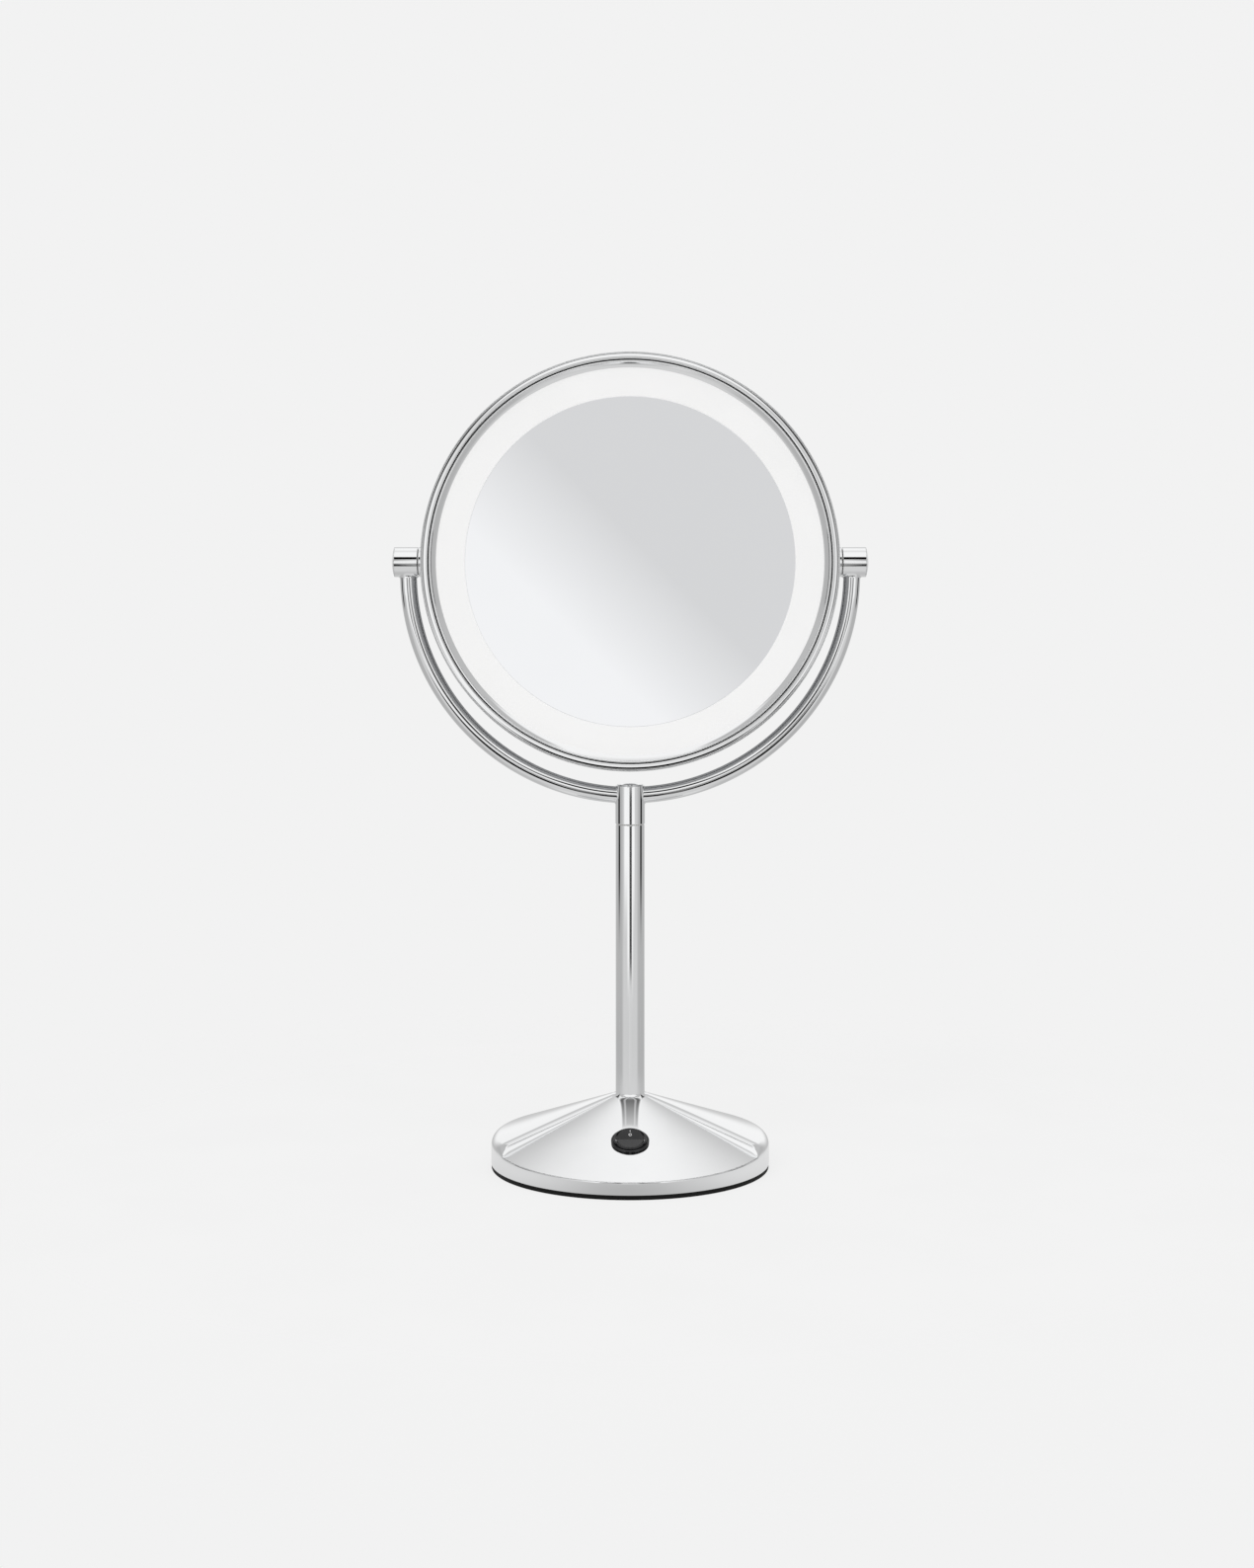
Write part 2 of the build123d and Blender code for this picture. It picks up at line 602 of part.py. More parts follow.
def make_right_friction_washer():
    return rod_x(5.6, 93.78, BARREL_INNER_X - 0.05) - rod_x(PIN_RADIUS + CLEARANCE, 80, 100)


def make_right_pivot_pin():
    """Hollow pin that carries the head, with a flange inside the rim."""
    pin = rod_x(PIN_RADIUS, 86.0, PIN_END_X) + rod_x(4.2, 85.9, 87.35)
    return pin - rod_x(PIN_BORE_RADIUS, 80, 110)


def make_right_pivot_plate():
    plate = block((87.4, -4.6, PIVOT_Z - 7), (88.9, 4.6, PIVOT_Z + 7))
    return plate - rod_x(PIN_RADIUS + CLEARANCE, 80, 110)


def make_right_wave_washer():
    return rod_x(3.7, BARREL_CHAMBER_X + 0.05, 97.7) - rod_x(PIN_RADIUS + CLEARANCE, 90, 110)


def make_right_pivot_nut():
    nut = rod_x(3.75, 97.75, 99.4) - rod_x(PIN_RADIUS + CLEARANCE, 90, 110)
    for turn in range(6):
        flat = Rot(turn * 60, 0, 0) * block((90, -5, 3.35), (110, 5, 8))
        nut -= at_pivot(flat)
    return nut


# --- Head ---------------------------------------------------------------------------------------
def make_rim_band():
    band = head_ring(BAND_RADIUS, BAND_BORE_RADIUS, -BAND_HALF_WIDTH, BAND_HALF_WIDTH)
    return band - rod_x(PIN_RADIUS + CLEARANCE, -120, 120)


def make_front_bezel():
    """Half-round bead with a skirt that snaps into the rim band."""
    bead = BEZEL_BEAD_RADIUS
    crest = HEAD_RADIUS - bead
    edge_y = -(HEAD_HALF_DEPTH - bead)
    inner = HEAD_RADIUS - 2 * bead
    back = -(LIGHT_FACE_Y + 0.05)
    cavity = bead - BEZEL_WALL
    bow = cavity * sin(radians(45))
    roof = edge_y - cavity
    side = crest + cavity
    outline = ThreePointArc((HEAD_RADIUS, edge_y), (crest, -HEAD_HALF_DEPTH), (inner, edge_y))
    outline += Polyline(
        (inner, edge_y), (inner, back), (SKIRT_BORE_RADIUS, back), (SKIRT_BORE_RADIUS, -SKIRT_END_Y),
        (SKIRT_RADIUS, -SKIRT_END_Y), (SKIRT_RADIUS, roof), (crest, roof))
    outline += ThreePointArc((crest, roof), (crest + bow, edge_y - bow), (side, edge_y))
    outline += Polyline((side, edge_y), (side, back), (HEAD_RADIUS, back), (HEAD_RADIUS, edge_y))
    return at_pivot(revolve(make_face(outline), Axis.Y))


def make_front_light_ring():
    """Opal ring with a ledge that carries the glass."""
    face = -LIGHT_FACE_Y
    back = face + LIGHT_RING_THICKNESS
    ledge = face + GLASS + 0.15
    neck = LIGHT_RING_BORE_RADIUS + 1.25
    profile = make_face(Polyline(
        (LIGHT_RING_BORE_RADIUS, face), (LIGHT_RING_RADIUS, face), (LIGHT_RING_RADIUS, back), (neck, back),
        (neck, ledge + 1), (70.0, ledge + 1), (70.0, ledge), (LIGHT_RING_BORE_RADIUS, ledge), close=True))
    return at_pivot(revolve(profile, Axis.Y))


def make_front_mirror():
    return head_disc(MIRROR_RADIUS, -LIGHT_FACE_Y, -LIGHT_FACE_Y + GLASS)


def make_rear_mirror():
    """Concave magnifying glass of even thickness."""
    sag = MIRROR_RADIUS ** 2 / (2 * REAR_MIRROR_CURVATURE)
    face_centre = LIGHT_FACE_Y - sag + REAR_MIRROR_CURVATURE
    glass = head_disc(MIRROR_RADIUS, 0, LIGHT_FACE_Y)
    glass &= Pos(0, face_centre, PIVOT_Z) * Sphere(REAR_MIRROR_CURVATURE + REAR_GLASS)
    return glass - Pos(0, face_centre, PIVOT_Z) * Sphere(REAR_MIRROR_CURVATURE)


def pivot_notches(depth):
    """Room for the pivot pins at both sides of the head."""
    notch = block((depth, -6, PIVOT_Z - 7.4), (100, 6, PIVOT_Z + 7.4))
    return notch + mirrored(notch)


def make_light_chassis():
    """White partition disc with a flange that the bezels clamp."""
    chassis = head_disc(87.0, -CHASSIS_HALF_THICKNESS, CHASSIS_HALF_THICKNESS)
    chassis += head_ring(89.2, 86.6, -4.9, 4.9)
    return chassis - pivot_notches(PIVOT_NOTCH_X)


def make_front_led_board():
    near = -CHASSIS_HALF_THICKNESS - 0.02
    board = head_ring(BOARD_RADIUS, BOARD_BORE_RADIUS, near - BOARD_THICKNESS, near)
    return board - pivot_notches(PIVOT_NOTCH_X)


led_angles = [(i + 0.5) * 360 / LED_COUNT for i in range(LED_COUNT)]


def make_front_leds():
    leds = []
    near = -CHASSIS_HALF_THICKNESS - BOARD_THICKNESS - 0.04
    for angle in led_angles:
        chip = block((LED_CIRCLE_RADIUS - 1.4, near - 0.8, -1.75), (LED_CIRCLE_RADIUS + 1.4, near, 1.75))
        lens = Cone(1.2, 0.9, 0.5, align=(Align.CENTER, Align.CENTER, Align.MIN))
        lens = Pos(LED_CIRCLE_RADIUS, near - 0.7, 0) * Rot(90, 0, 0) * lens
        leds.append(at_pivot(Rot(0, -angle, 0) * (chip + lens)))
    return leds


def make_board_screws():
    head = Rot(90, 0, 0) * Cylinder(1.6, 1.0)
    shank = Pos(0, 1.5, 0) * Rot(90, 0, 0) * Cylinder(0.6, 2.2)
    y = -CHASSIS_HALF_THICKNESS - BOARD_THICKNESS - 0.6
    return [at_pivot(Pos(x, y, z) * (head + shank)) for x, z in around(BOARD_SCREW_CIRCLE)]


def make_front_mirror_pad():
    return head_disc(55.0, -LIGHT_FACE_Y + GLASS + 0.03, -CHASSIS_HALF_THICKNESS - 0.03)


def make_rear_mirror_pad():
    return head_ring(66.0, 60.0, CHASSIS_HALF_THICKNESS + 0.03, 4.85)


def make_head_wires():
    """Wires from the right pivot pin to the two boards."""
    wires = []
    for side in (-1, 1):
        path = FilletPolyline(
            (100.1, side * WIRE_SPREAD, PIVOT_Z), (82.5, side * WIRE_SPREAD, PIVOT_Z),
            (80.8, side * 3.0, PIVOT_Z), (76.5, side * 3.0, PIVOT_Z), radius=1.0)
        wires.append(wire_along(path))
    return wires


def make_base_wires():
    """Wires from the post's top down through the stud, along the battery holder to the switch."""
    wires = []
    for side in (-1, 1):
        x = side * WIRE_SPREAD
        path = FilletPolyline(
            (x, 0, 131.2), (x, 0, 19.5), (side * 14.5, -9, 19.5), (side * 15, -20, 16.6),
            (side * 15, -26.4, 15.4), (side * 10.8, -29.6, 9.0), (side * 5.15, -30.8, 7.4), radius=1.2)
        wires.append(wire_along(path))
    return wires


# --- All pieces ---------------------------------------------------------------------------------
def as_rear(shape):
    """The front piece, turned to the back of the head."""
    return mirror(shape, Plane.XZ)


def drilled_board(board, screws):
    for screw in screws:
        board -= screw
    return board


def build_all():
    front_screws = make_board_screws()
    rear_screws = [as_rear(screw) for screw in front_screws]
    chassis = make_light_chassis()
    for screw in front_screws + rear_screws:
        chassis -= screw
    front_board = drilled_board(make_front_led_board(), front_screws)
    rear_board = drilled_board(as_rear(make_front_led_board()), rear_screws)
    front_leds = make_front_leds()
    nodes = {
        "base_shell": make_base_shell(),
        "base_plate": make_base_plate(),
        "battery_cover": make_battery_cover(),
        "foot_ring": make_foot_ring(),
        "ballast_ring": make_ballast_ring(),
        "battery_holder": make_battery_holder(),
        "batteries": make_batteries(),
        "battery_contacts": make_battery_contacts(),
        "battery_springs": make_battery_springs(),
        "base_screws": make_base_screws(),
        "holder_screws": make_holder_screws(),
        "switch_housing": make_switch_housing() - make_rocker_pin(),
        "rocker": make_rocker(),
        "rocker_pin": make_rocker_pin(),
        "switch_terminals": make_switch_terminals(),
        "post_tube": make_post_tube(),
        "post_foot_plug": make_post_foot_plug(),
        "threaded_nipple": make_threaded_nipple(),
        "foot_nut": make_foot_nut(),
        "foot_washer": make_foot_washer(),
        "post_bush": make_post_bush(),
        "swivel_washer": make_swivel_washer(),
        "base_wires": make_base_wires(),
        "hub": make_hub(),
        "hub_cap": make_hub_cap(),
        "swivel_spindle": make_swivel_spindle(),
        "spindle_nut": make_spindle_nut(),
        "spindle_spring_washer": make_spindle_spring_washer(),
        "arm_wires": make_arm_wires(),
        "rim_band": make_rim_band(),
        "front_bezel": make_front_bezel(),
        "rear_bezel": as_rear(make_front_bezel()),
        "front_light_ring": make_front_light_ring(),
        "rear_light_ring": as_rear(make_front_light_ring()),
        "front_mirror": make_front_mirror(),
        "rear_mirror": make_rear_mirror(),
        "light_chassis": chassis,
        "front_led_board": front_board,
        "rear_led_board": rear_board,
        "front_leds": front_leds,
        "rear_leds": [as_rear(led) for led in front_leds],
        "board_screws": front_screws + rear_screws,
        "front_mirror_pad": make_front_mirror_pad(),
        "rear_mirror_pad": make_rear_mirror_pad(),
        "head_wires": make_head_wires(),
    }
    paired = {
        "arm": make_right_arm(),
        "barrel": make_right_barrel(),
        "barrel_cap": make_right_barrel_cap(),
        "pivot_boss": make_right_pivot_boss(),
        "friction_washer": make_right_friction_washer(),
        "pivot_pin": make_right_pivot_pin(),
    }
    for name, shape in paired.items():
        nodes["right_" + name] = shape
        nodes["left_" + name] = mirrored(shape)
    grouped = {
        "pivot_plates": make_right_pivot_plate(),
        "wave_washers": make_right_wave_washer(),
        "pivot_nuts": make_right_pivot_nut(),
    }
    for name, shape in grouped.items():
        nodes[name] = [shape, mirrored(shape)]
    return nodes


def write_nodes(nodes):
    os.makedirs("parts", exist_ok=True)
    for name, shape in nodes.items():
        pieces = shape if isinstance(shape, list) else [shape]
        solids = [solid for piece in pieces for solid in piece.solids()]
        export_step(Compound(children=solids), f"parts/{name}.step")


write_nodes(build_all())
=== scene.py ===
import json
import math
from math import cos, radians, sin, sqrt, tan

import bpy
from mathutils import Matrix, Vector


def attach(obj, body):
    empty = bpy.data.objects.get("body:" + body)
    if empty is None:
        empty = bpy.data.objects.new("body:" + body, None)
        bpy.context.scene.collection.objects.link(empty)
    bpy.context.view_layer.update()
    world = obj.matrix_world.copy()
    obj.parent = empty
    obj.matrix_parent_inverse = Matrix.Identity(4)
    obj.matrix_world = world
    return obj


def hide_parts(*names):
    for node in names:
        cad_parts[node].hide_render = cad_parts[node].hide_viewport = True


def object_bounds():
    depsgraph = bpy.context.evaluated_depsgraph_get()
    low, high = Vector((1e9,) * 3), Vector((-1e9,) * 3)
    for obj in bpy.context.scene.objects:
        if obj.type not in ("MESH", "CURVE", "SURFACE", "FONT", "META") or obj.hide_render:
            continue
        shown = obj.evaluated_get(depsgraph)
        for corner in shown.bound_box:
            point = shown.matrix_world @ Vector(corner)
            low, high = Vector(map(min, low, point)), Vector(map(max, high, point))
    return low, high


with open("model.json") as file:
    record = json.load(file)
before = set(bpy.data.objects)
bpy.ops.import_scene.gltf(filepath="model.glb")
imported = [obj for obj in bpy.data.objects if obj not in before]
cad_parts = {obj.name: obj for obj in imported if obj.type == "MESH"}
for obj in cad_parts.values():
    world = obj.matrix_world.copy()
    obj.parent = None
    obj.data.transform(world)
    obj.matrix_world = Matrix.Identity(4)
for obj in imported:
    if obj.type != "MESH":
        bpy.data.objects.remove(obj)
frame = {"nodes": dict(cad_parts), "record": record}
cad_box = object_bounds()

# Lighted vanity mirror. Lengths below are millimetres until a mesh is made, as in the CAD source.
MM = 0.001
PIVOT_Z = 268.0
HEAD_HALF_DEPTH = 12.0
BEAD_HALF_WIDTH = 1.25
BEAD_CROWN = 0.045       # how far the bead's edges lie behind its crest, before its corners
BEAD_CORNER = 0.09       # how far its corners fall away
BEAD_CENTRE = 90.4       # radius of the bead's crest
BEAD_SIDE_Y = -11.4      # where the bead's sides start
EDGE_RADIUS = 92.45      # outer edge, a small bead beyond a narrow seam
EDGE_BEAD_RADIUS = 0.26
EDGE_BEAD_Y = -10.5
SEAM_Y = -9.4            # bottom of the seam
GROOVE_OUTER = 89.05     # groove inside the bead, with a dark ring at its bottom as painted shade
GROOVE_INNER = 88.72
GROOVE_Y = -9.6
SMALL_BEAD_HALF_WIDTH = 0.42
SMALL_BEAD_Y = -10.57
SMALL_BEAD_CROWN = 0.02
LIP_RADIUS = 85.6        # inner edge of the bezel
BEZEL_BACK_Y = 8.8
SKIRT_RADIUS = 89.3
SKIRT_BORE = 87.6
SKIRT_END_Y = 5.0
BAND_RADIUS = 92.0
BAND_BORE = 89.4
BAND_HALF_WIDTH = 8.7
FACE_Y = 8.75
MIRROR_RADIUS = 72.9
RING_BORE = 73.05
RING_RADIUS = 87.3
FRONT_GLASS = 3.0
REAR_GLASS = 2.4
REAR_CURVATURE = 620.0
YOKE_RADIUS = 98.5
YOKE_CENTRE_Z = 263.0
TUBE_RADIUS = 3.75
BARREL_RADIUS = 6.7
HUB_RADIUS = 6.55
HUB_TOP_Z = 169.0
POST_RADIUS = 6.4
POST_FOOT_Z = 31.72
SEAM_Z = 151.4
BASE_RADIUS = 61.6
BASE_WALL = 2.2
SHELL_FOOT_Z = 1.95     # lower edge of the chromed cover, on the lip of the rubber ring
DOME_APEX_Z = 34.4
DOME_SLOPE = 0.338
DOME_FLAT_Z = 31.7
SHOULDER_RADIUS = 5.0
FACET_CONE = radians(20.4)
FACET_TILT = radians(3.3)
FACET_HALF_ANGLE = radians(64.0)
WALL_WIDTH = 5.2       # width of the rounded step beside the facet
COLLAR_RADIUS = 9.0    # the cover curves up to the post inside this radius
COLLAR_RISE = 0.95
SWITCH_FORWARD = 35.8
ROCKER_RADIUS = 5.85
ROCKER_FACE_Z = 1.4
ROCKER_REST_TILT = radians(8.0)
ROCKER_FACE_SLOPE = tan(radians(9.0))

TURNS = 288            # segments of a large turned piece
SMALL_TURNS = 96       # segments of a small one

facet_front_slope = tan(FACET_CONE + FACET_TILT)
switch_lean = math.atan(facet_front_slope)
switch_place = Matrix.Translation((0, -SWITCH_FORWARD, DOME_APEX_Z - facet_front_slope * SWITCH_FORWARD))
switch_place = switch_place @ Matrix.Rotation(switch_lean, 4, "X")


# --- Shader node helpers ------------------------------------------------------------------------
def add_node(tree, kind, settings=(), inputs=()):
    """A node with its properties and input values or links set."""
    node = tree.nodes.new(kind)
    for key, value in settings:
        setattr(node, key, value)
    for key, value in inputs:
        if isinstance(value, bpy.types.NodeSocket):
            tree.links.new(value, node.inputs[key])
        else:
            node.inputs[key].default_value = value
    return node


def calc(tree, operation, *values):
    inputs = list(enumerate(values))
    return add_node(tree, "ShaderNodeMath", [("operation", operation)], inputs).outputs[0]


def spread(tree, value, low, high, to_low, to_high, smooth=True):
    """value from low..high to to_low..to_high, clamped."""
    kind = "SMOOTHSTEP" if smooth else "LINEAR"
    inputs = [(0, value), (1, low), (2, high), (3, to_low), (4, to_high)]
    return add_node(tree, "ShaderNodeMapRange", [("interpolation_type", kind)], inputs).outputs[0]


def noise(tree, where, scale, detail=3.0, rough=0.5, stretch=(1, 1, 1)):
    if stretch != (1, 1, 1):
        where = add_node(tree, "ShaderNodeMapping", (), [("Vector", where), ("Scale", stretch)]).outputs[0]
    inputs = [("Vector", where), ("Scale", scale), ("Detail", detail), ("Roughness", rough)]
    return add_node(tree, "ShaderNodeTexNoise", (), inputs).outputs[0]


def blend_colour(tree, factor, first, second):
    node = add_node(tree, "ShaderNodeMix", [("data_type", "RGBA")])
    tree.links.new(factor, node.inputs[0])
    for socket, value in ((node.inputs[6], first), (node.inputs[7], second)):
        if isinstance(value, bpy.types.NodeSocket):
            tree.links.new(value, socket)
        else:
            socket.default_value = (*value, 1.0)
    return node.outputs[2]


def surface(name, dark, light, rough, metallic=0.0, patch=60.0, grain=900.0, bump=0.2, depth=0.02,
            stretch=(1, 1, 1), **sockets):
    """A finish whose colour and roughness drift in patches and whose bump is a fine grain.
    patch and grain are noise scales per metre, and depth is the grain's height in millimetres."""
    material = bpy.data.materials.new(name)
    material.use_nodes = True
    tree = material.node_tree
    shader = tree.nodes["Principled BSDF"]
    where = add_node(tree, "ShaderNodeTexCoord").outputs["Object"]
    patches = noise(tree, where, patch, 4.0, 0.55, stretch)
    fine = noise(tree, where, grain, 3.0, 0.6, stretch)
    shade = spread(tree, patches, 0.3, 0.7, 0.0, 1.0)
    tree.links.new(blend_colour(tree, shade, dark, light), shader.inputs["Base Color"])
    mixed = calc(tree, "ADD", calc(tree, "MULTIPLY", patches, 0.7), calc(tree, "MULTIPLY", fine, 0.3))
    tree.links.new(spread(tree, mixed, 0.35, 0.65, rough[0], rough[1]), shader.inputs["Roughness"])
    bumps = [("Strength", bump), ("Distance", depth * MM), ("Height", fine)]
    tree.links.new(add_node(tree, "ShaderNodeBump", (), bumps).outputs[0], shader.inputs["Normal"])
    shader.inputs["Metallic"].default_value = metallic
    for key, value in sockets.items():
        shader.inputs[key.replace("_", " ")].default_value = value
    return material


materials = {
    "chrome": surface("chrome", (0.85, 0.855, 0.86), (0.88, 0.885, 0.89), (0.02, 0.045), 1.0,
                      patch=25, grain=90, bump=0.02, depth=0.003),
    "chromed_band": surface("chromed_band", (0.40, 0.405, 0.415), (0.50, 0.505, 0.515), (0.10, 0.18), 1.0,
                            patch=40, grain=1400, bump=0.08, depth=0.004, stretch=(1, 9, 1)),
    # the mirror glass also glows a little: painted light that makes the mirror paler than its reflection
    # alone
    "mirror_glass": surface("mirror_glass", (0.596, 0.602, 0.612), (0.604, 0.609, 0.620), (0.0, 0.012), 1.0,
                            patch=18, grain=60, bump=0.01, depth=0.001,
                            Emission_Color=(0.938, 0.946, 0.962, 1.0), Emission_Strength=0.30),
    "opal_acrylic": surface("opal_acrylic", (0.33, 0.33, 0.33), (0.35, 0.35, 0.35), (0.55, 0.62), 0.0,
                            patch=30, grain=200, bump=0.01, depth=0.004, Specular_IOR_Level=0.1,
                            Emission_Color=(1.0, 0.998, 0.995, 1.0), Emission_Strength=0.608),
    "black_plastic": surface("black_plastic", (0.012, 0.012, 0.013), (0.022, 0.022, 0.023), (0.38, 0.55),
                             patch=80, grain=2600, bump=0.35, depth=0.03),
    "switch_plastic": surface("switch_plastic", (0.006, 0.006, 0.007), (0.012, 0.012, 0.013), (0.10, 0.20),
                              patch=200, grain=3200, bump=0.15, depth=0.01),
    "foot_rubber": surface("foot_rubber", (0.003, 0.003, 0.003), (0.007, 0.007, 0.007), (0.6, 0.85),
                           patch=120, grain=2400, bump=0.4, depth=0.05, Specular_IOR_Level=0.2),
    "steel": surface("steel", (0.42, 0.42, 0.43), (0.58, 0.58, 0.59), (0.25, 0.42), 1.0,
                     patch=90, grain=1800, bump=0.2, depth=0.01),
    "cell_jacket": surface("cell_jacket", (0.02, 0.045, 0.03), (0.03, 0.07, 0.045), (0.25, 0.4),
                           patch=90, grain=1500, bump=0.1),
    "brass": surface("brass", (0.62, 0.42, 0.16), (0.78, 0.56, 0.25), (0.2, 0.38), 1.0,
                     patch=150, grain=2000),
    "nylon": surface("nylon", (0.72, 0.71, 0.67), (0.80, 0.79, 0.76), (0.4, 0.55), patch=150, grain=2200),
    "white_plastic": surface("white_plastic", (0.76, 0.76, 0.75), (0.82, 0.82, 0.81), (0.35, 0.5),
                             patch=60, grain=1800),
    "circuit_board": surface("circuit_board", (0.70, 0.71, 0.70), (0.80, 0.81, 0.80), (0.3, 0.45),
                             patch=180, grain=1200),
    "led": surface("led", (0.85, 0.78, 0.35), (0.95, 0.88, 0.45), (0.15, 0.3), patch=300, grain=1500),
    "wire": surface("wire", (0.03, 0.03, 0.03), (0.06, 0.06, 0.06), (0.35, 0.5), patch=200, grain=2500),
    "foam": surface("foam", (0.10, 0.10, 0.11), (0.17, 0.17, 0.18), (0.8, 0.95), patch=300, grain=1600,
                    bump=0.8, depth=0.3),
}

slot_of = {part["node"]: part["material_slot"] for part in frame["record"]["subparts"]}


# --- Mesh helpers -------------------------------------------------------------------------------
def upright(x, y, h):
    return (x, y, h)


def facing(x, y, h):
    """Turned about the head's own axis, with h along Y."""
    return (x, h, PIVOT_Z + y)


def sideways(x, y, h):
    """Turned about the tilt axis, with h along X."""
    return (h, x, PIVOT_Z + y)


def at_switch(x, y, h):
    return tuple(switch_place @ Vector((x, y, h)))


def rounded(corners, closed=True, step=12.0):
    """Outline through corners (x, y, radius), each rounded by an arc with a short flat on both sides."""
    points = []
    count = len(corners)
    for i, (x, y, radius) in enumerate(corners):
        here = Vector((x, y))
        if radius == 0 or (not closed and i in (0, count - 1)):
            points.append((x, y))
            continue
        before = (Vector(corners[i - 1][:2]) - here).normalized()
        after = (Vector(corners[(i + 1) % count][:2]) - here).normalized()
        turn = math.pi - before.angle(after)
        back = radius * tan(turn / 2)
        margin = min(0.25 * radius, 0.06)
        centre = here + (before + after).normalized() * (radius / cos(turn / 2))
        first = here + before * back - centre
        last = here + after * back - centre
        points.append(tuple(here + before * (back + margin)))
        steps = max(3, math.ceil(math.degrees(turn) / step))
        for k in range(steps + 1):
            share = k / steps
            arm = (first * sin((1 - share) * turn) + last * sin(share * turn)) / sin(turn)
            points.append(tuple(centre + arm))
        points.append(tuple(here + after * (back + margin)))
    return points


def signed_volume(points, faces):
    total = 0.0
    for face in faces:
        a = points[face[0]]
        for k in range(1, len(face) - 1):
            total += a.dot(points[face[k]].cross(points[face[k + 1]]))
    return total


def solid(name, points, faces, sharp=50.0):
    """A closed smooth mesh object, in metres, with its faces turned outwards."""
    points = [Vector(p) for p in points]
    if signed_volume(points, faces) < 0:
        faces = [face[::-1] for face in faces]
    mesh = bpy.data.meshes.new(name)
    mesh.from_pydata([p * MM for p in points], [], faces)
    mesh.polygons.foreach_set("use_smooth", [True] * len(mesh.polygons))
    mesh.set_sharp_from_angle(angle=radians(sharp))
    mesh.update()
    made = bpy.data.objects.new(name, mesh)
    bpy.context.scene.collection.objects.link(made)
    return made


def rows_to_faces(rows, loop_rows, first_pole=None, last_pole=None):
    """Quads between rows of vertex indices, each a closed ring, with optional poles at the ends."""
    faces = []
    size = len(rows[0])
    pairs = list(zip(rows, rows[1:]))
    if loop_rows:
        pairs.append((rows[-1], rows[0]))
    for a, b in pairs:
        for k in range(size):
            n = (k + 1) % size
            faces.append((a[k], a[n], b[n], b[k]))
    if first_pole is not None:
        faces += [(first_pole, rows[0][(k + 1) % size], rows[0][k]) for k in range(size)]
    if last_pole is not None:
        faces += [(last_pole, rows[-1][k], rows[-1][(k + 1) % size]) for k in range(size)]
    return faces


def turned(name, outline, place, turns=SMALL_TURNS, sharp=50.0):
    """Solid of revolution. outline is a loop of (radius, height), or runs from the axis back to the axis."""
    poles = outline[0][0] == 0
    ring_points = outline[1:-1] if poles else outline
    points, rows = [], []
    for r, h in ring_points:
        rows.append(range(len(points), len(points) + turns))
        for k in range(turns):
            a = 2 * math.pi * k / turns
            points.append(place(r * cos(a), r * sin(a), h))
    if not poles:
        return solid(name, points, rows_to_faces(rows, True), sharp)
    points += [place(0, 0, outline[0][1]), place(0, 0, outline[-1][1])]
    return solid(name, points, rows_to_faces(rows, False, len(points) - 2, len(points) - 1), sharp)


def flipped(outline):
    """The same outline on the other side of zero height."""
    return [(r, -h) for r, h in outline]


def finish_piece(piece, node, body=None):
    """The piece stands for a CAD node, takes its finish and rides on its body."""
    piece.data.materials.append(materials[slot_of[node]])
    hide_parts(node)
    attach(piece, body or body_of_node[node])
    return piece


body_of_node = {n: b for b, members in frame["record"]["behaviour"]["bodies"].items() for n in members}


# --- Head ---------------------------------------------------------------------------------------
def flat_bead(centre, half, crest, crown, shares):
    """Nearly flat bead from its outer edge to its inner one. shares runs from its centre, 0, to 1."""
    points = []
    flat = shares[-4]
    for share in shares[:0:-1] + tuple(-s for s in shares):
        corner = BEAD_CORNER * (max(abs(share) - flat, 0.0) / (1 - flat)) ** 2
        points.append((centre + half * share, crest + crown * share * share + corner))
    return points


def bezel_outline():
    """Edge bead, main bead, groove, small inner bead and a lip that slopes down to the light ring."""
    edge = EDGE_RADIUS - EDGE_BEAD_RADIUS
    points = []
    for k in range(9):
        a = math.pi * 0.95 * k / 8
        points.append((edge + EDGE_BEAD_RADIUS * cos(a), EDGE_BEAD_Y - EDGE_BEAD_RADIUS * sin(a)))
    points += [(edge - EDGE_BEAD_RADIUS, SEAM_Y), (BEAD_CENTRE + BEAD_HALF_WIDTH + 0.01, SEAM_Y)]
    points.append((BEAD_CENTRE + BEAD_HALF_WIDTH, BEAD_SIDE_Y))
    points += flat_bead(BEAD_CENTRE, BEAD_HALF_WIDTH, -HEAD_HALF_DEPTH, BEAD_CROWN,
                        (0, 0.3, 0.6, 0.88, 0.93, 0.97, 1))
    points.append((BEAD_CENTRE - BEAD_HALF_WIDTH, BEAD_SIDE_Y))
    points += [(GROOVE_OUTER - 0.05, GROOVE_Y), (GROOVE_INNER + 0.05, GROOVE_Y)]
    half = SMALL_BEAD_HALF_WIDTH
    points += flat_bead(GROOVE_INNER - half, half, SMALL_BEAD_Y, SMALL_BEAD_CROWN,
                        (0, 0.4, 0.8, 0.86, 0.93, 1))
    back = -BEZEL_BACK_Y
    return points + rounded([
        (LIP_RADIUS, back - 0.15, 0), (LIP_RADIUS, back, 0), (SKIRT_BORE, back, 0),
        (SKIRT_BORE, -SKIRT_END_Y, 0.15), (SKIRT_RADIUS, -SKIRT_END_Y, 0.15), (SKIRT_RADIUS, back, 0),
        (EDGE_RADIUS, back, 0)], False)


def light_ring_outline():
    """Flat ring with a step behind the mirror, which seats it."""
    face = -FACE_Y
    return rounded([(RING_BORE, face, 0.2), (RING_RADIUS, face, 0.2), (RING_RADIUS, face + 2.0, 0.2),
                    (74.3, face + 2.0, 0), (74.3, -4.6, 0.2), (70.0, -4.6, 0.2), (70.0, -5.6, 0.2),
                    (RING_BORE, -5.6, 0)])


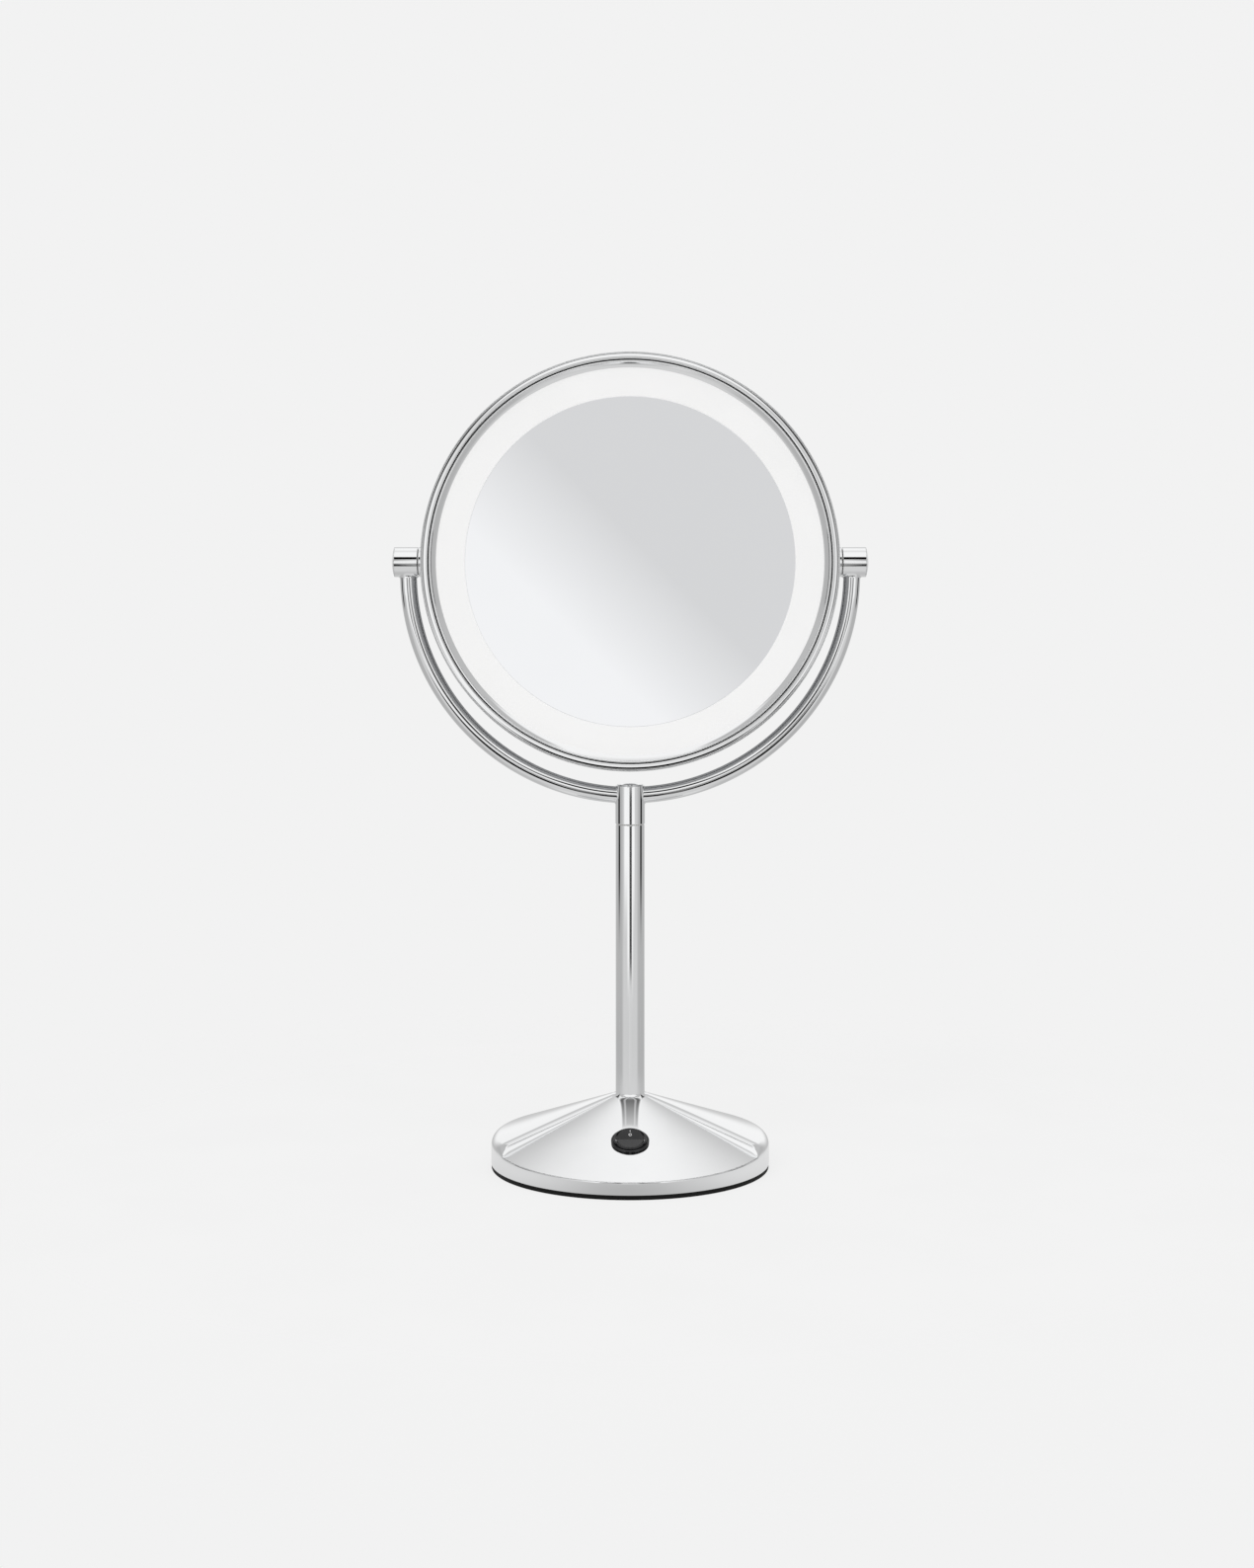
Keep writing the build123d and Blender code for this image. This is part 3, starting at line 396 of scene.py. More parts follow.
def rear_mirror_outline():
    """Concave magnifying glass, from the centre of its face out to the rim and back to the axis."""
    sag = MIRROR_RADIUS ** 2 / (2 * REAR_CURVATURE)
    middle = FACE_Y - sag + REAR_CURVATURE
    back = REAR_CURVATURE + REAR_GLASS
    radii = [MIRROR_RADIUS * k / 40 for k in range(41)]
    radii[-1] -= 0.15
    face = [(r, middle - sqrt(REAR_CURVATURE ** 2 - r * r)) for r in radii]
    rim = [(MIRROR_RADIUS, face[-1][1]), (MIRROR_RADIUS, middle - sqrt(back ** 2 - MIRROR_RADIUS ** 2))]
    rear = [(r, middle - sqrt(back ** 2 - r * r)) for r in reversed(radii)]
    return face + rim + rear


bezel = bezel_outline()
light_ring = light_ring_outline()
finish_piece(turned("front_bezel_bead", bezel, facing, TURNS), "front_bezel")
finish_piece(turned("rear_bezel_bead", flipped(bezel), facing, TURNS), "rear_bezel")
# black ring at the bottom of each groove: painted shade that darkens the groove
groove_shade_ring = [(GROOVE_INNER + 0.04, GROOVE_Y - 0.02), (GROOVE_OUTER - 0.04, GROOVE_Y - 0.02),
          (GROOVE_OUTER - 0.04, GROOVE_Y - 0.7), (GROOVE_INNER + 0.04, GROOVE_Y - 0.55)]
for name, outline in (("front_bezel_gasket", groove_shade_ring[::-1]), ("rear_bezel_gasket", flipped(groove_shade_ring[::-1]))):
    piece = turned(name, outline, facing, TURNS)
    piece.data.materials.append(materials["foot_rubber"])
    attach(piece, "head")
finish_piece(turned("front_diffuser", light_ring, facing, TURNS), "front_light_ring")
finish_piece(turned("rear_diffuser", flipped(light_ring), facing, TURNS), "rear_light_ring")
band = rounded([(BAND_BORE, -BAND_HALF_WIDTH, 0.1), (BAND_RADIUS, -BAND_HALF_WIDTH, 0.2),
                (BAND_RADIUS, BAND_HALF_WIDTH, 0.2), (BAND_BORE, BAND_HALF_WIDTH, 0.1)])
finish_piece(turned("rim_band_ring", band, facing, TURNS), "rim_band")
glass = rounded([(0, -FACE_Y, 0), (MIRROR_RADIUS, -FACE_Y, 0.15), (MIRROR_RADIUS, FRONT_GLASS - FACE_Y, 0.15),
                 (0, FRONT_GLASS - FACE_Y, 0)], False)
finish_piece(turned("front_glass", glass, facing, TURNS), "front_mirror")
finish_piece(turned("rear_glass", rear_mirror_outline(), facing, TURNS), "rear_mirror")


# --- Pivots -------------------------------------------------------------------------------------
def rod(start, end, radius, inner_edge=0.2, outer_edge=0.2):
    corners = [(0, start, 0), (radius, start, inner_edge), (radius, end, outer_edge), (0, end, 0)]
    return rounded(corners, False)


def domed(start, radius, rise, edge=0.25):
    """Outline of a plug with a spherical top, for turning about its own axis."""
    height = rise - edge
    sphere = (radius ** 2 + height ** 2) / (2 * height)
    lip = 0.35
    points = [(0, start), (radius - 0.1, start), (radius, start + 0.1), (radius, start + edge - 0.1)]
    base = start + edge
    full = math.asin(radius / sphere)
    inner = math.asin((radius - lip) / sphere)
    for k in range(1, 5):
        a = math.pi / 2 * k / 5
        share = 1 - cos(a)
        angle = full + (inner - full) * share
        points.append((radius - lip * share, base + (sphere * cos(inner) - sphere * cos(full)) * sin(a)))
    for k in range(11):
        a = inner * (1 - k / 11)
        points.append((sphere * sin(a), base + sphere * cos(a) - sphere * cos(full)))
    points.append((0, start + rise))
    return points


def on_side(outline, side):
    return outline if side > 0 else flipped(outline)


for side, word in ((1, "right"), (-1, "left")):
    boss = on_side(rod(91.65, 93.75, BARREL_RADIUS, 0.1, 0.25), side)
    finish_piece(turned(word + "_boss", boss, sideways), word + "_pivot_boss")
    washer = on_side(rod(93.78, 94.05, 5.6, 0.05, 0.05), side)
    finish_piece(turned(word + "_washer", washer, sideways), word + "_friction_washer")
    barrel = on_side(rod(94.1, 104.4, BARREL_RADIUS, 0.25, 0.08), side)
    finish_piece(turned(word + "_pivot_barrel", barrel, sideways), word + "_barrel")
    cap = on_side(domed(104.42, BARREL_RADIUS, 1.4), side)
    finish_piece(turned(word + "_end_cap", cap, sideways), word + "_barrel_cap")


# --- Yoke ---------------------------------------------------------------------------------------
def arm_rows(side):
    """Rings of points along the tube from inside the hub to the barrel, with a small fillet onto it."""
    turns = 64
    fillet = 0.9
    start = math.asin(5.0 / YOKE_RADIUS)
    end = math.asin((YOKE_CENTRE_Z - 259.6) / YOKE_RADIUS)
    rows = []
    steps = 110
    for i in range(steps + 1):
        a = start + (math.pi / 2 - end - start) * i / steps
        row = []
        for k in range(turns):
            turn = 2 * math.pi * k / turns
            reach = YOKE_RADIUS + TUBE_RADIUS * cos(turn)
            row.append((side * reach * sin(a), TUBE_RADIUS * sin(turn), YOKE_CENTRE_Z - reach * cos(a)))
        rows.append(row)
    for i in range(9):
        share = i / 7
        if i < 8:
            swell = fillet * (1 - cos(share * math.pi / 2))
            below = fillet * (1 - sin(share * math.pi / 2))
        else:
            swell, below = fillet * 0.9, -0.3
        row = []
        for k in range(turns):
            turn = 2 * math.pi * k / turns
            radius = TUBE_RADIUS + swell
            y = radius * sin(turn)
            height = PIVOT_Z - sqrt(BARREL_RADIUS ** 2 - y * y)
            row.append((side * (YOKE_RADIUS + radius * cos(turn)), y, height - below))
        rows.append(row)
    return rows


def tube_from_rows(name, rows):
    size = len(rows[0])
    points = [p for row in rows for p in row]
    index = [range(i * size, (i + 1) * size) for i in range(len(rows))]
    ends = []
    for row in (rows[0], rows[-1]):
        ends.append(tuple(sum(p[i] for p in row) / size for i in range(3)))
    points += ends
    return solid(name, points, rows_to_faces(index, False, len(points) - 2, len(points) - 1))


for side, word in ((1, "right"), (-1, "left")):
    finish_piece(tube_from_rows(word + "_yoke_arm", arm_rows(side)), word + "_arm")


def flare_rows(side):
    """Rings of points of the fillet from an arm onto the hub: small on top, larger underneath."""
    turns = 64
    rows = []
    for i in range(14):
        share = min(i / 12, 1.0)
        row = []
        for k in range(turns):
            turn = 2 * math.pi * k / turns
            fillet = 0.2 + 0.3 * (1 - cos(turn))
            radius = TUBE_RADIUS + 0.02 + fillet * (1 - cos(share * math.pi / 2))
            y = radius * sin(turn)
            x = sqrt(HUB_RADIUS ** 2 - y * y) + fillet * (1 - sin(share * math.pi / 2))
            if i == 13:
                x -= 0.6
            axis_z = YOKE_CENTRE_Z - sqrt(YOKE_RADIUS ** 2 - x * x)
            row.append((side * x, y, axis_z + radius * cos(turn)))
        rows.append(row)
    return rows


def make_hub():
    low = SEAM_Z + 0.33
    return rounded([(0, low, 0), (HUB_RADIUS, low, 0.2), (HUB_RADIUS, HUB_TOP_Z, 0.55), (5.9, HUB_TOP_Z, 0),
                    (0, HUB_TOP_Z - 0.05, 0)], False)


finish_piece(turned("yoke_hub", make_hub(), upright), "hub")
for side, word in ((1, "right"), (-1, "left")):
    flare = tube_from_rows("hub_socket_" + word, flare_rows(side))
    flare.data.materials.append(materials["chrome"])
    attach(flare, "yoke")
finish_piece(turned("hub_top_cap", domed(HUB_TOP_Z - 0.03, HUB_RADIUS - 0.75, 1.1), upright), "hub_cap")

# --- Post ---------------------------------------------------------------------------------------
post = rounded([(5.4, POST_FOOT_Z, 0), (POST_RADIUS, POST_FOOT_Z, 0.3), (POST_RADIUS, SEAM_Z, 0.2),
                (5.4, SEAM_Z, 0)])
post_piece = finish_piece(turned("post", post, upright, 128), "post_tube")
seam = rounded([(4.15, SEAM_Z + 0.02, 0), (6.1, SEAM_Z + 0.02, 0.05), (6.1, SEAM_Z + 0.28, 0.05),
                (4.15, SEAM_Z + 0.28, 0)])
finish_piece(turned("seam_washer", seam, upright), "swivel_washer")


# --- Base ---------------------------------------------------------------------------------------
def dome_height(r, inset=0.0):
    """Height of the dome's outside at radius r, or of its inside for an inset."""
    wall_radius = BASE_RADIUS - inset
    apex = DOME_APEX_Z - inset * sqrt(1 + DOME_SLOPE ** 2)
    flat = DOME_FLAT_Z - inset * 1.35
    fillet = max(SHOULDER_RADIUS - inset, 1.0)
    centre_r = wall_radius - fillet
    centre_z = apex - DOME_SLOPE * centre_r - fillet * sqrt(1 + DOME_SLOPE ** 2)
    lean = math.atan(DOME_SLOPE)
    if r > centre_r + fillet * sin(lean):
        out = min((r - centre_r) / fillet, 1.0)
        return centre_z + fillet * sqrt(1 - out * out)
    return min(flat, apex - DOME_SLOPE * r)


def facet_height(x, y, drop=0.0):
    """Height of the sunken front facet: a cone leaning forward about the dome's apex."""
    c, s = cos(FACET_TILT), sin(FACET_TILT)
    fall = tan(FACET_CONE)
    low, high = -90.0, 0.0
    for step in range(40):
        z = (low + high) / 2
        local_y = y * c + z * s
        local_z = -y * s + z * c
        if local_z + fall * sqrt(x * x + local_y * local_y) > 0:
            high = z
        else:
            low = z
    return DOME_APEX_Z - drop + (low + high) / 2


def from_front(angle):
    """Unsigned angle from the front, up to half a turn."""
    return abs((angle + math.pi) % (2 * math.pi) - math.pi)


def base_height(r, angle, inset=0.0):
    """Height of the base at a polar place. angle is 0 at the front."""
    top = dome_height(r, inset)
    drop = inset * 1.08
    x, y = r * sin(angle), -r * cos(angle)
    beyond = from_front(angle) - FACET_HALF_ANGLE
    away = r * sin(min(beyond, math.pi / 2)) if beyond > 0 else 0.0
    collar = 0.0
    if inset == 0 and r < COLLAR_RADIUS:
        share = min((COLLAR_RADIUS - r) / (COLLAR_RADIUS - POST_RADIUS), 1.0)
        collar = COLLAR_RISE * (1 - sqrt(1 - share * share))
    if away >= WALL_WIDTH:
        return top + collar
    sunk = min(facet_height(x, y, drop), top)
    wall = 1 - min(away / WALL_WIDTH, 1.0)
    return sunk + (top - sunk) * sqrt(1 - wall * wall) + collar


def base_angles():
    """Angles round the base: even on the facet, and closer together beside its two edges."""
    edge = FACET_HALF_ANGLE
    front = [edge * (k / 64 - 1) for k in range(129)]
    beyond = (0.08, 0.2, 0.4, 0.65, 0.95, 1.25, 1.6, 2.0, 2.5, 3.1, 3.8, 4.6, 5.6, 6.8, 8.2, 10.0, 12.5,
              15.5, 19.0, 23.5, 29.0)
    side = [edge + radians(d) for d in beyond]
    last = side[-1]
    back = [last + 2 * (math.pi - last) * k / 60 for k in range(1, 61)]
    rest = [2 * math.pi - a for a in reversed(side[:-1])]
    return front + side + back + rest


def base_shell():
    angles = base_angles()
    radii = [4.95, 6.2] + [6.4 + 2.6 * k / 13 for k in range(14)]
    radii += [10.0, 11.0] + [12.0 + k for k in range(45)]
    centre_r = BASE_RADIUS - SHOULDER_RADIUS
    radii += [57.0, 57.6]
    shoulder = (20, 26, 32, 38, 44, 50, 56, 62, 68, 74, 80, 85, 90)
    radii += [centre_r + SHOULDER_RADIUS * sin(radians(a)) for a in shoulder]
    points, rows = [], []

    def add_row(heights_and_radii):
        rows.append(range(len(points), len(points) + len(angles)))
        for (r, z), a in zip(heights_and_radii, angles):
            points.append((r * sin(a), -r * cos(a), z))

    for r in radii[:-1]:
        add_row([(r, base_height(r, a)) for a in angles])
    bevel = 0.35
    tops = [base_height(BASE_RADIUS, a) for a in angles]
    for k in range(4):
        turn = math.pi / 2 * k / 3
        out = BASE_RADIUS - bevel * (1 - sin(turn))
        drop = bevel * (1 - cos(turn))
        drops = [drop if from_front(a) <= FACET_HALF_ANGLE + 0.12 else 0.02 * k for a in angles]
        add_row([(out, base_height(out, a) - d) for a, d in zip(angles, drops)])
    for share in (0.06, 0.5, 0.94):
        add_row([(BASE_RADIUS, t - bevel - (t - bevel - SHELL_FOOT_Z - 0.1) * share) for t in tops])
    add_row([(BASE_RADIUS, SHELL_FOOT_Z + 0.1)] * len(angles))
    add_row([(BASE_RADIUS - 0.1, SHELL_FOOT_Z)] * len(angles))
    inner = BASE_RADIUS - BASE_WALL
    add_row([(inner, SHELL_FOOT_Z)] * len(angles))
    for r in (inner - 0.01, 56.5, 50.0, 40.0, 30.0, 20.0, 10.0, 4.95):
        add_row([(r, base_height(r, a, BASE_WALL)) for a in angles])
    return solid("base_cover", points, rows_to_faces(rows, True), 32.0)


finish_piece(base_shell(), "base_shell")
foot = rounded([(55.7, 0, 0.2), (58.2, 0, 0), (58.2, 0.4, 0), (59.2, 0.4, 0), (59.2, 0, 0), (61.4, 0, 0.3),
                (61.4, SHELL_FOOT_Z - 0.02, 0.1), (59.3, SHELL_FOOT_Z - 0.02, 0), (59.3, 1.49, 0),
                (55.7, 1.49, 0)])
finish_piece(turned("foot_rubber_ring", foot, upright, TURNS), "foot_ring")

# --- Switch -------------------------------------------------------------------------------------
housing = rounded([
    (6.35, -1.2, 0), (6.65, -1.2, 0), (6.65, -8.3, 0), (5.0, -8.3, 0), (5.0, -9.5, 0), (7.2, -9.5, 0.3),
    (7.2, 0.15, 0), (8.2, 0.15, 0.08), (8.2, 0.7, 0.25), (7.6, 1.15, 0.1), (7.48, 0.7, 0), (7.3, 0.7, 0),
    (7.2, 1.35, 0.1), (6.95, 1.95, 0.22), (6.35, 1.95, 0.15)])
finish_piece(turned("switch_bezel", housing, at_switch), "switch_housing")


def rocker_place(x, y, h):
    tilt = Matrix.Rotation(ROCKER_REST_TILT, 4, "X")
    return tuple(switch_place @ (tilt @ Vector((x, y, h))))


def rocker_top(x, y):
    """Height of the shallow V face, with a soft valley."""
    return ROCKER_FACE_Z + ROCKER_FACE_SLOPE * (sqrt(y * y + 0.01) - 0.1)


def make_rocker():
    turns = SMALL_TURNS
    points, rows = [], []
    bevel = 0.35
    radii = [0.4 * k for k in range(1, 14)] + [5.35]
    tops = [(r, 0.0) for r in radii]
    for degrees in (0, 18, 36, 54, 72, 90):
        a = radians(degrees)
        tops.append((ROCKER_RADIUS - bevel * (1 - sin(a)), bevel * (1 - cos(a))))
    for r, drop in tops:
        rows.append(range(len(points), len(points) + turns))
        for k in range(turns):
            a = 2 * math.pi * k / turns
            x, y = r * cos(a), r * sin(a)
            points.append(rocker_place(x, y, rocker_top(x, y) - drop))
    for r, z in ((ROCKER_RADIUS, 1.0), (ROCKER_RADIUS, -1.0), (5.2, -3.2), (4.4, -4.1)):
        rows.append(range(len(points), len(points) + turns))
        for k in range(turns):
            a = 2 * math.pi * k / turns
            y = r * sin(a)
            points.append(rocker_place(r * cos(a), y, z))
    points += [rocker_place(0, 0, rocker_top(0, 0)), rocker_place(0, 0, -4.15)]
    return solid("rocker_paddle", points, rows_to_faces(rows, False, len(points) - 2, len(points) - 1), 60.0)


finish_piece(make_rocker(), "rocker")


def raised_mark(name, rows_of_points):
    """A low moulded mark on the rocker's face: a closed strip with a rectangular section."""
    rows = []
    points = []
    for ring in rows_of_points:
        rows.append(range(len(points), len(points) + len(ring)))
        points += [rocker_place(*p) for p in ring]
    index = [list(row) for row in rows]
    if len(index) > 2:
        faces = rows_to_faces(index, True)
    else:
        faces = rows_to_faces(index, False) + [tuple(index[0][::-1]), tuple(index[1])]
    mark = solid(name, points, faces, 30.0)
    mark.data.materials.append(mark_paint)
    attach(mark, "rocker")


mark_paint = surface("mark_paint", (0.62, 0.62, 0.62), (0.72, 0.72, 0.72), (0.4, 0.55), patch=300, grain=2500)


def section(x, y, half, across):
    """Four corners of the mark's section at a place on the face; across is the direction of its width."""
    corners = []
    for w, lift in ((-half, -0.03), (half, -0.03), (half, 0.05), (-half, 0.05)):
        px, py = x + across[0] * w, y + across[1] * w
        corners.append((px, py, rocker_top(px, py) + lift))
    return corners


circle = []
for k in range(40):
    a = 2 * math.pi * k / 40
    circle.append(section(0.55 * cos(a), 2.3 + 0.55 * sin(a), 0.13, (cos(a), sin(a))))
raised_mark("mark_off", circle)
raised_mark("mark_on", [section(0, 3.7, 0.13, (1, 0)), section(0, 4.7, 0.13, (1, 0))])

# --- CAD pieces that stay: each gets its procedural finish --------------------------------------
for name, node in frame["nodes"].items():
    if node.hide_render:
        continue
    node.data.materials.clear()
    node.data.materials.append(materials[slot_of[name]])
    node.data.polygons.foreach_set("material_index", [0] * len(node.data.polygons))


# --- Floor --------------------------------------------------------------------------------------
def make_floor(name, half):
    steps = 24
    points, faces = [], []
    for i in range(steps + 1):
        for j in range(steps + 1):
            points.append((half * (2 * i / steps - 1), half * (2 * j / steps - 1), 0.0))
    for i in range(steps):
        for j in range(steps):
            a = i * (steps + 1) + j
            faces.append((a, a + steps + 1, a + steps + 2, a + 1))
    mesh = bpy.data.meshes.new(name)
    mesh.from_pydata(points, [], faces)
    made = bpy.data.objects.new(name, mesh)
    bpy.context.scene.collection.objects.link(made)
    return made


def floor_material(name, fade, level_of, diffuse):
    """Pale floor lit by itself, which fades out towards its edge."""
    material = bpy.data.materials.new(name)
    material.use_nodes = True
    tree = material.node_tree
    tree.nodes.clear()
    where = add_node(tree, "ShaderNodeTexCoord").outputs["Object"]
    length = add_node(tree, "ShaderNodeVectorMath", [("operation", "LENGTH")], [(0, where)])
    distance = length.outputs["Value"]
    level = level_of(tree, where, distance)
    speckle = spread(tree, noise(tree, where, 14.0), 0.3, 0.7, 0.995, 1.005)
    strength = calc(tree, "MULTIPLY", level, speckle)
    glow = add_node(tree, "ShaderNodeEmission", (), [("Strength", strength)]).outputs[0]
    colour = (diffuse, diffuse, diffuse, 1)
    matte = add_node(tree, "ShaderNodeBsdfDiffuse", (), [("Color", colour)]).outputs[0]
    both = add_node(tree, "ShaderNodeAddShader", (), [(0, glow), (1, matte)]).outputs[0]
    clear = add_node(tree, "ShaderNodeBsdfTransparent").outputs[0]
    edge = spread(tree, distance, fade[0], fade[1], 0.0, 1.0)
    mixed = add_node(tree, "ShaderNodeMixShader", (), [(0, edge), (1, both), (2, clear)]).outputs[0]
    add_node(tree, "ShaderNodeOutputMaterial", (), [("Surface", mixed)])
    return material


def even_level(tree, where, distance):
    return 0.80


def shaded_level(tree, where, distance):
    """What the chrome sees of the floor, with painted shade: a painted contact shadow close in front of the
    base, and darker behind the object.
    """
    parts = add_node(tree, "ShaderNodeSeparateXYZ", (), [(0, where)]).outputs
    near = spread(tree, calc(tree, "ABSOLUTE", parts[0]), 0.0, 0.085, 0.50, 0.80)
    far = spread(tree, parts[1], -0.16, 0.04, 0.72, 0.56)
    share = spread(tree, distance, 0.075, 0.12, 0.0, 1.0)
    drop = calc(tree, "MULTIPLY", calc(tree, "SUBTRACT", far, near), share)
    return calc(tree, "ADD", near, drop)


floor = make_floor("floor", 0.6)
floor.data.materials.append(floor_material("floor_pale", (0.20, 0.42), even_level, 0.10))
floor.visible_glossy = False
# second floor, seen only in the chrome: it glows, darker near the base as a painted contact shadow
under = make_floor("floor_reflected", 0.6)
under.data.materials.append(floor_material("floor_shaded", (0.15, 0.23), shaded_level, 0.0))
under.visible_camera = False
under.visible_diffuse = False
under.visible_shadow = False

# --- Card inside the post, a painted reflection of the post that the polished facet mirrors in its place ---
CARD_HALF = 0.0064          # metres, as are the other lengths of the card
CARD_Y = -0.0045
CARD_Z = (0.0300, 0.0660)
POST_INSIDES = ("threaded_nipple", "post_foot_plug", "post_bush", "base_wires", "arm_wires", "swivel_spindle",
                "spindle_nut", "spindle_spring_washer")


def card_material():
    """Painted reflection of the post: a streak, dark at the foot as painted shade and paler upwards, with two
    thin light lines and light edges.
    """
    material = bpy.data.materials.new("post_card")
    material.use_nodes = True
    tree = material.node_tree
    tree.nodes.clear()
    where = add_node(tree, "ShaderNodeTexCoord").outputs["Object"]
    parts = add_node(tree, "ShaderNodeSeparateXYZ", (), [(0, where)]).outputs
    across = calc(tree, "ABSOLUTE", parts[0])
    height = parts[2]
    # painted shade: darkest at the post's foot, paler upwards
    dark = spread(tree, height, 0.0345, 0.058, 0.11, 0.60, False)
    dark = calc(tree, "MULTIPLY", dark, spread(tree, height, 0.0325, 0.0345, 0.1, 1.0))
    light = spread(tree, height, 0.0325, 0.0345, 0.10, 1.02)
    lines = calc(tree, "MULTIPLY", spread(tree, across, 0.0024, 0.0030, 0.0, 0.35),
                 spread(tree, across, 0.0036, 0.0042, 1.0, 0.0))
    edge = calc(tree, "MAXIMUM", spread(tree, across, 0.0050, 0.0063, 0.0, 1.0), lines)
    top = spread(tree, height, 0.0575, 0.063, 0.0, 1.0)
    share = calc(tree, "MAXIMUM", edge, top)
    level = calc(tree, "ADD", dark, calc(tree, "MULTIPLY", calc(tree, "SUBTRACT", light, dark), share))
    glow = add_node(tree, "ShaderNodeEmission", (), [("Strength", level)]).outputs[0]
    add_node(tree, "ShaderNodeOutputMaterial", (), [("Surface", glow)])
    return material


def post_card():
    low, high = CARD_Z
    half = CARD_HALF
    corners = [(-half, CARD_Y, low), (half, CARD_Y, low), (half, CARD_Y, high), (-half, CARD_Y, high)]
    mesh = bpy.data.meshes.new("post_card")
    mesh.from_pydata(corners, [], [(0, 1, 2, 3)])
    mesh.materials.append(card_material())
    card = bpy.data.objects.new("post_card", mesh)
    bpy.context.scene.collection.objects.link(card)
    card.visible_camera = False
    card.visible_diffuse = False
    card.visible_shadow = False


post_card()
for piece in [frame["nodes"][name] for name in POST_INSIDES] + [post_piece]:
    piece.visible_glossy = False

# --- Studio: pale surroundings with soft boxes and a few dark flags, as directions --------------
BACKDROP = 0.888
FLAT_GLASS_RISE = 1.31      # degrees of elevation that the middle of the flat glass reflects
CARDS = (
    # azimuth low, high, soft, elevation low, high, soft, level
    (-57.0, 48.0, 8.0, -3.6, 2.4, 0.8, 1.04),        # large soft box in front
    (-36.0, 32.0, 6.0, 1.8, 60.0, 0.8, 1.04),        # narrower above
    (-152.0, -66.0, 6.0, 40.0, 68.0, 4.0, 0.55),     # grey high up at the sides
    (66.0, 152.0, 6.0, 40.0, 68.0, 4.0, 0.55),
    (-48.0, 36.0, 7.0, -7.2, -3.4, 1.2, 1.03),       # the soft box narrows downwards too
    (-22.0, 22.0, 8.0, -9.0, -6.0, 0.9, 1.03),
    (-106.0, -87.0, 3.0, -7.4, 14.0, 1.2, 0.005),    # dark flags at the sides
    (87.0, 106.0, 3.0, -7.4, 14.0, 1.2, 0.005),
    (-150.0, -50.0, 7.0, 16.0, 44.0, 5.0, 0.56),     # greyer sides
    (48.0, 150.0, 7.0, 16.0, 44.0, 5.0, 0.56),
    (-13.0, 13.0, 4.0, 18.5, 37.0, 1.6, 0.002),      # dark bar across the front, above
    (-32.0, 32.0, 4.0, -34.0, -12.8, 1.0, 0.01),     # and below, with two lighter slots
    (-6.2, -5.0, 0.3, -34.0, -10.0, 1.5, 0.40),
    (5.0, 6.2, 0.3, -34.0, -10.0, 1.5, 0.40),
    (-24.0, -8.0, 2.0, -3.8, 21.0, 0.4, 0.30),       # dark uprights at both sides of the middle
    (8.0, 24.0, 2.0, -3.8, 21.0, 0.4, 0.26),
    (-24.0, -6.0, 1.5, 5.0, 20.0, 1.5, 0.03),
    (6.0, 24.0, 1.5, 5.0, 20.0, 1.5, 0.02),
    (-5.0, 13.0, 1.0, -9.0, -4.2, 0.5, 0.002),       # narrow dark flag in the middle, low
    (-6.2, -5.0, 0.3, -12.0, -4.0, 0.5, 0.95),
    (5.0, 6.2, 0.3, -12.0, -4.0, 0.5, 0.95),
)


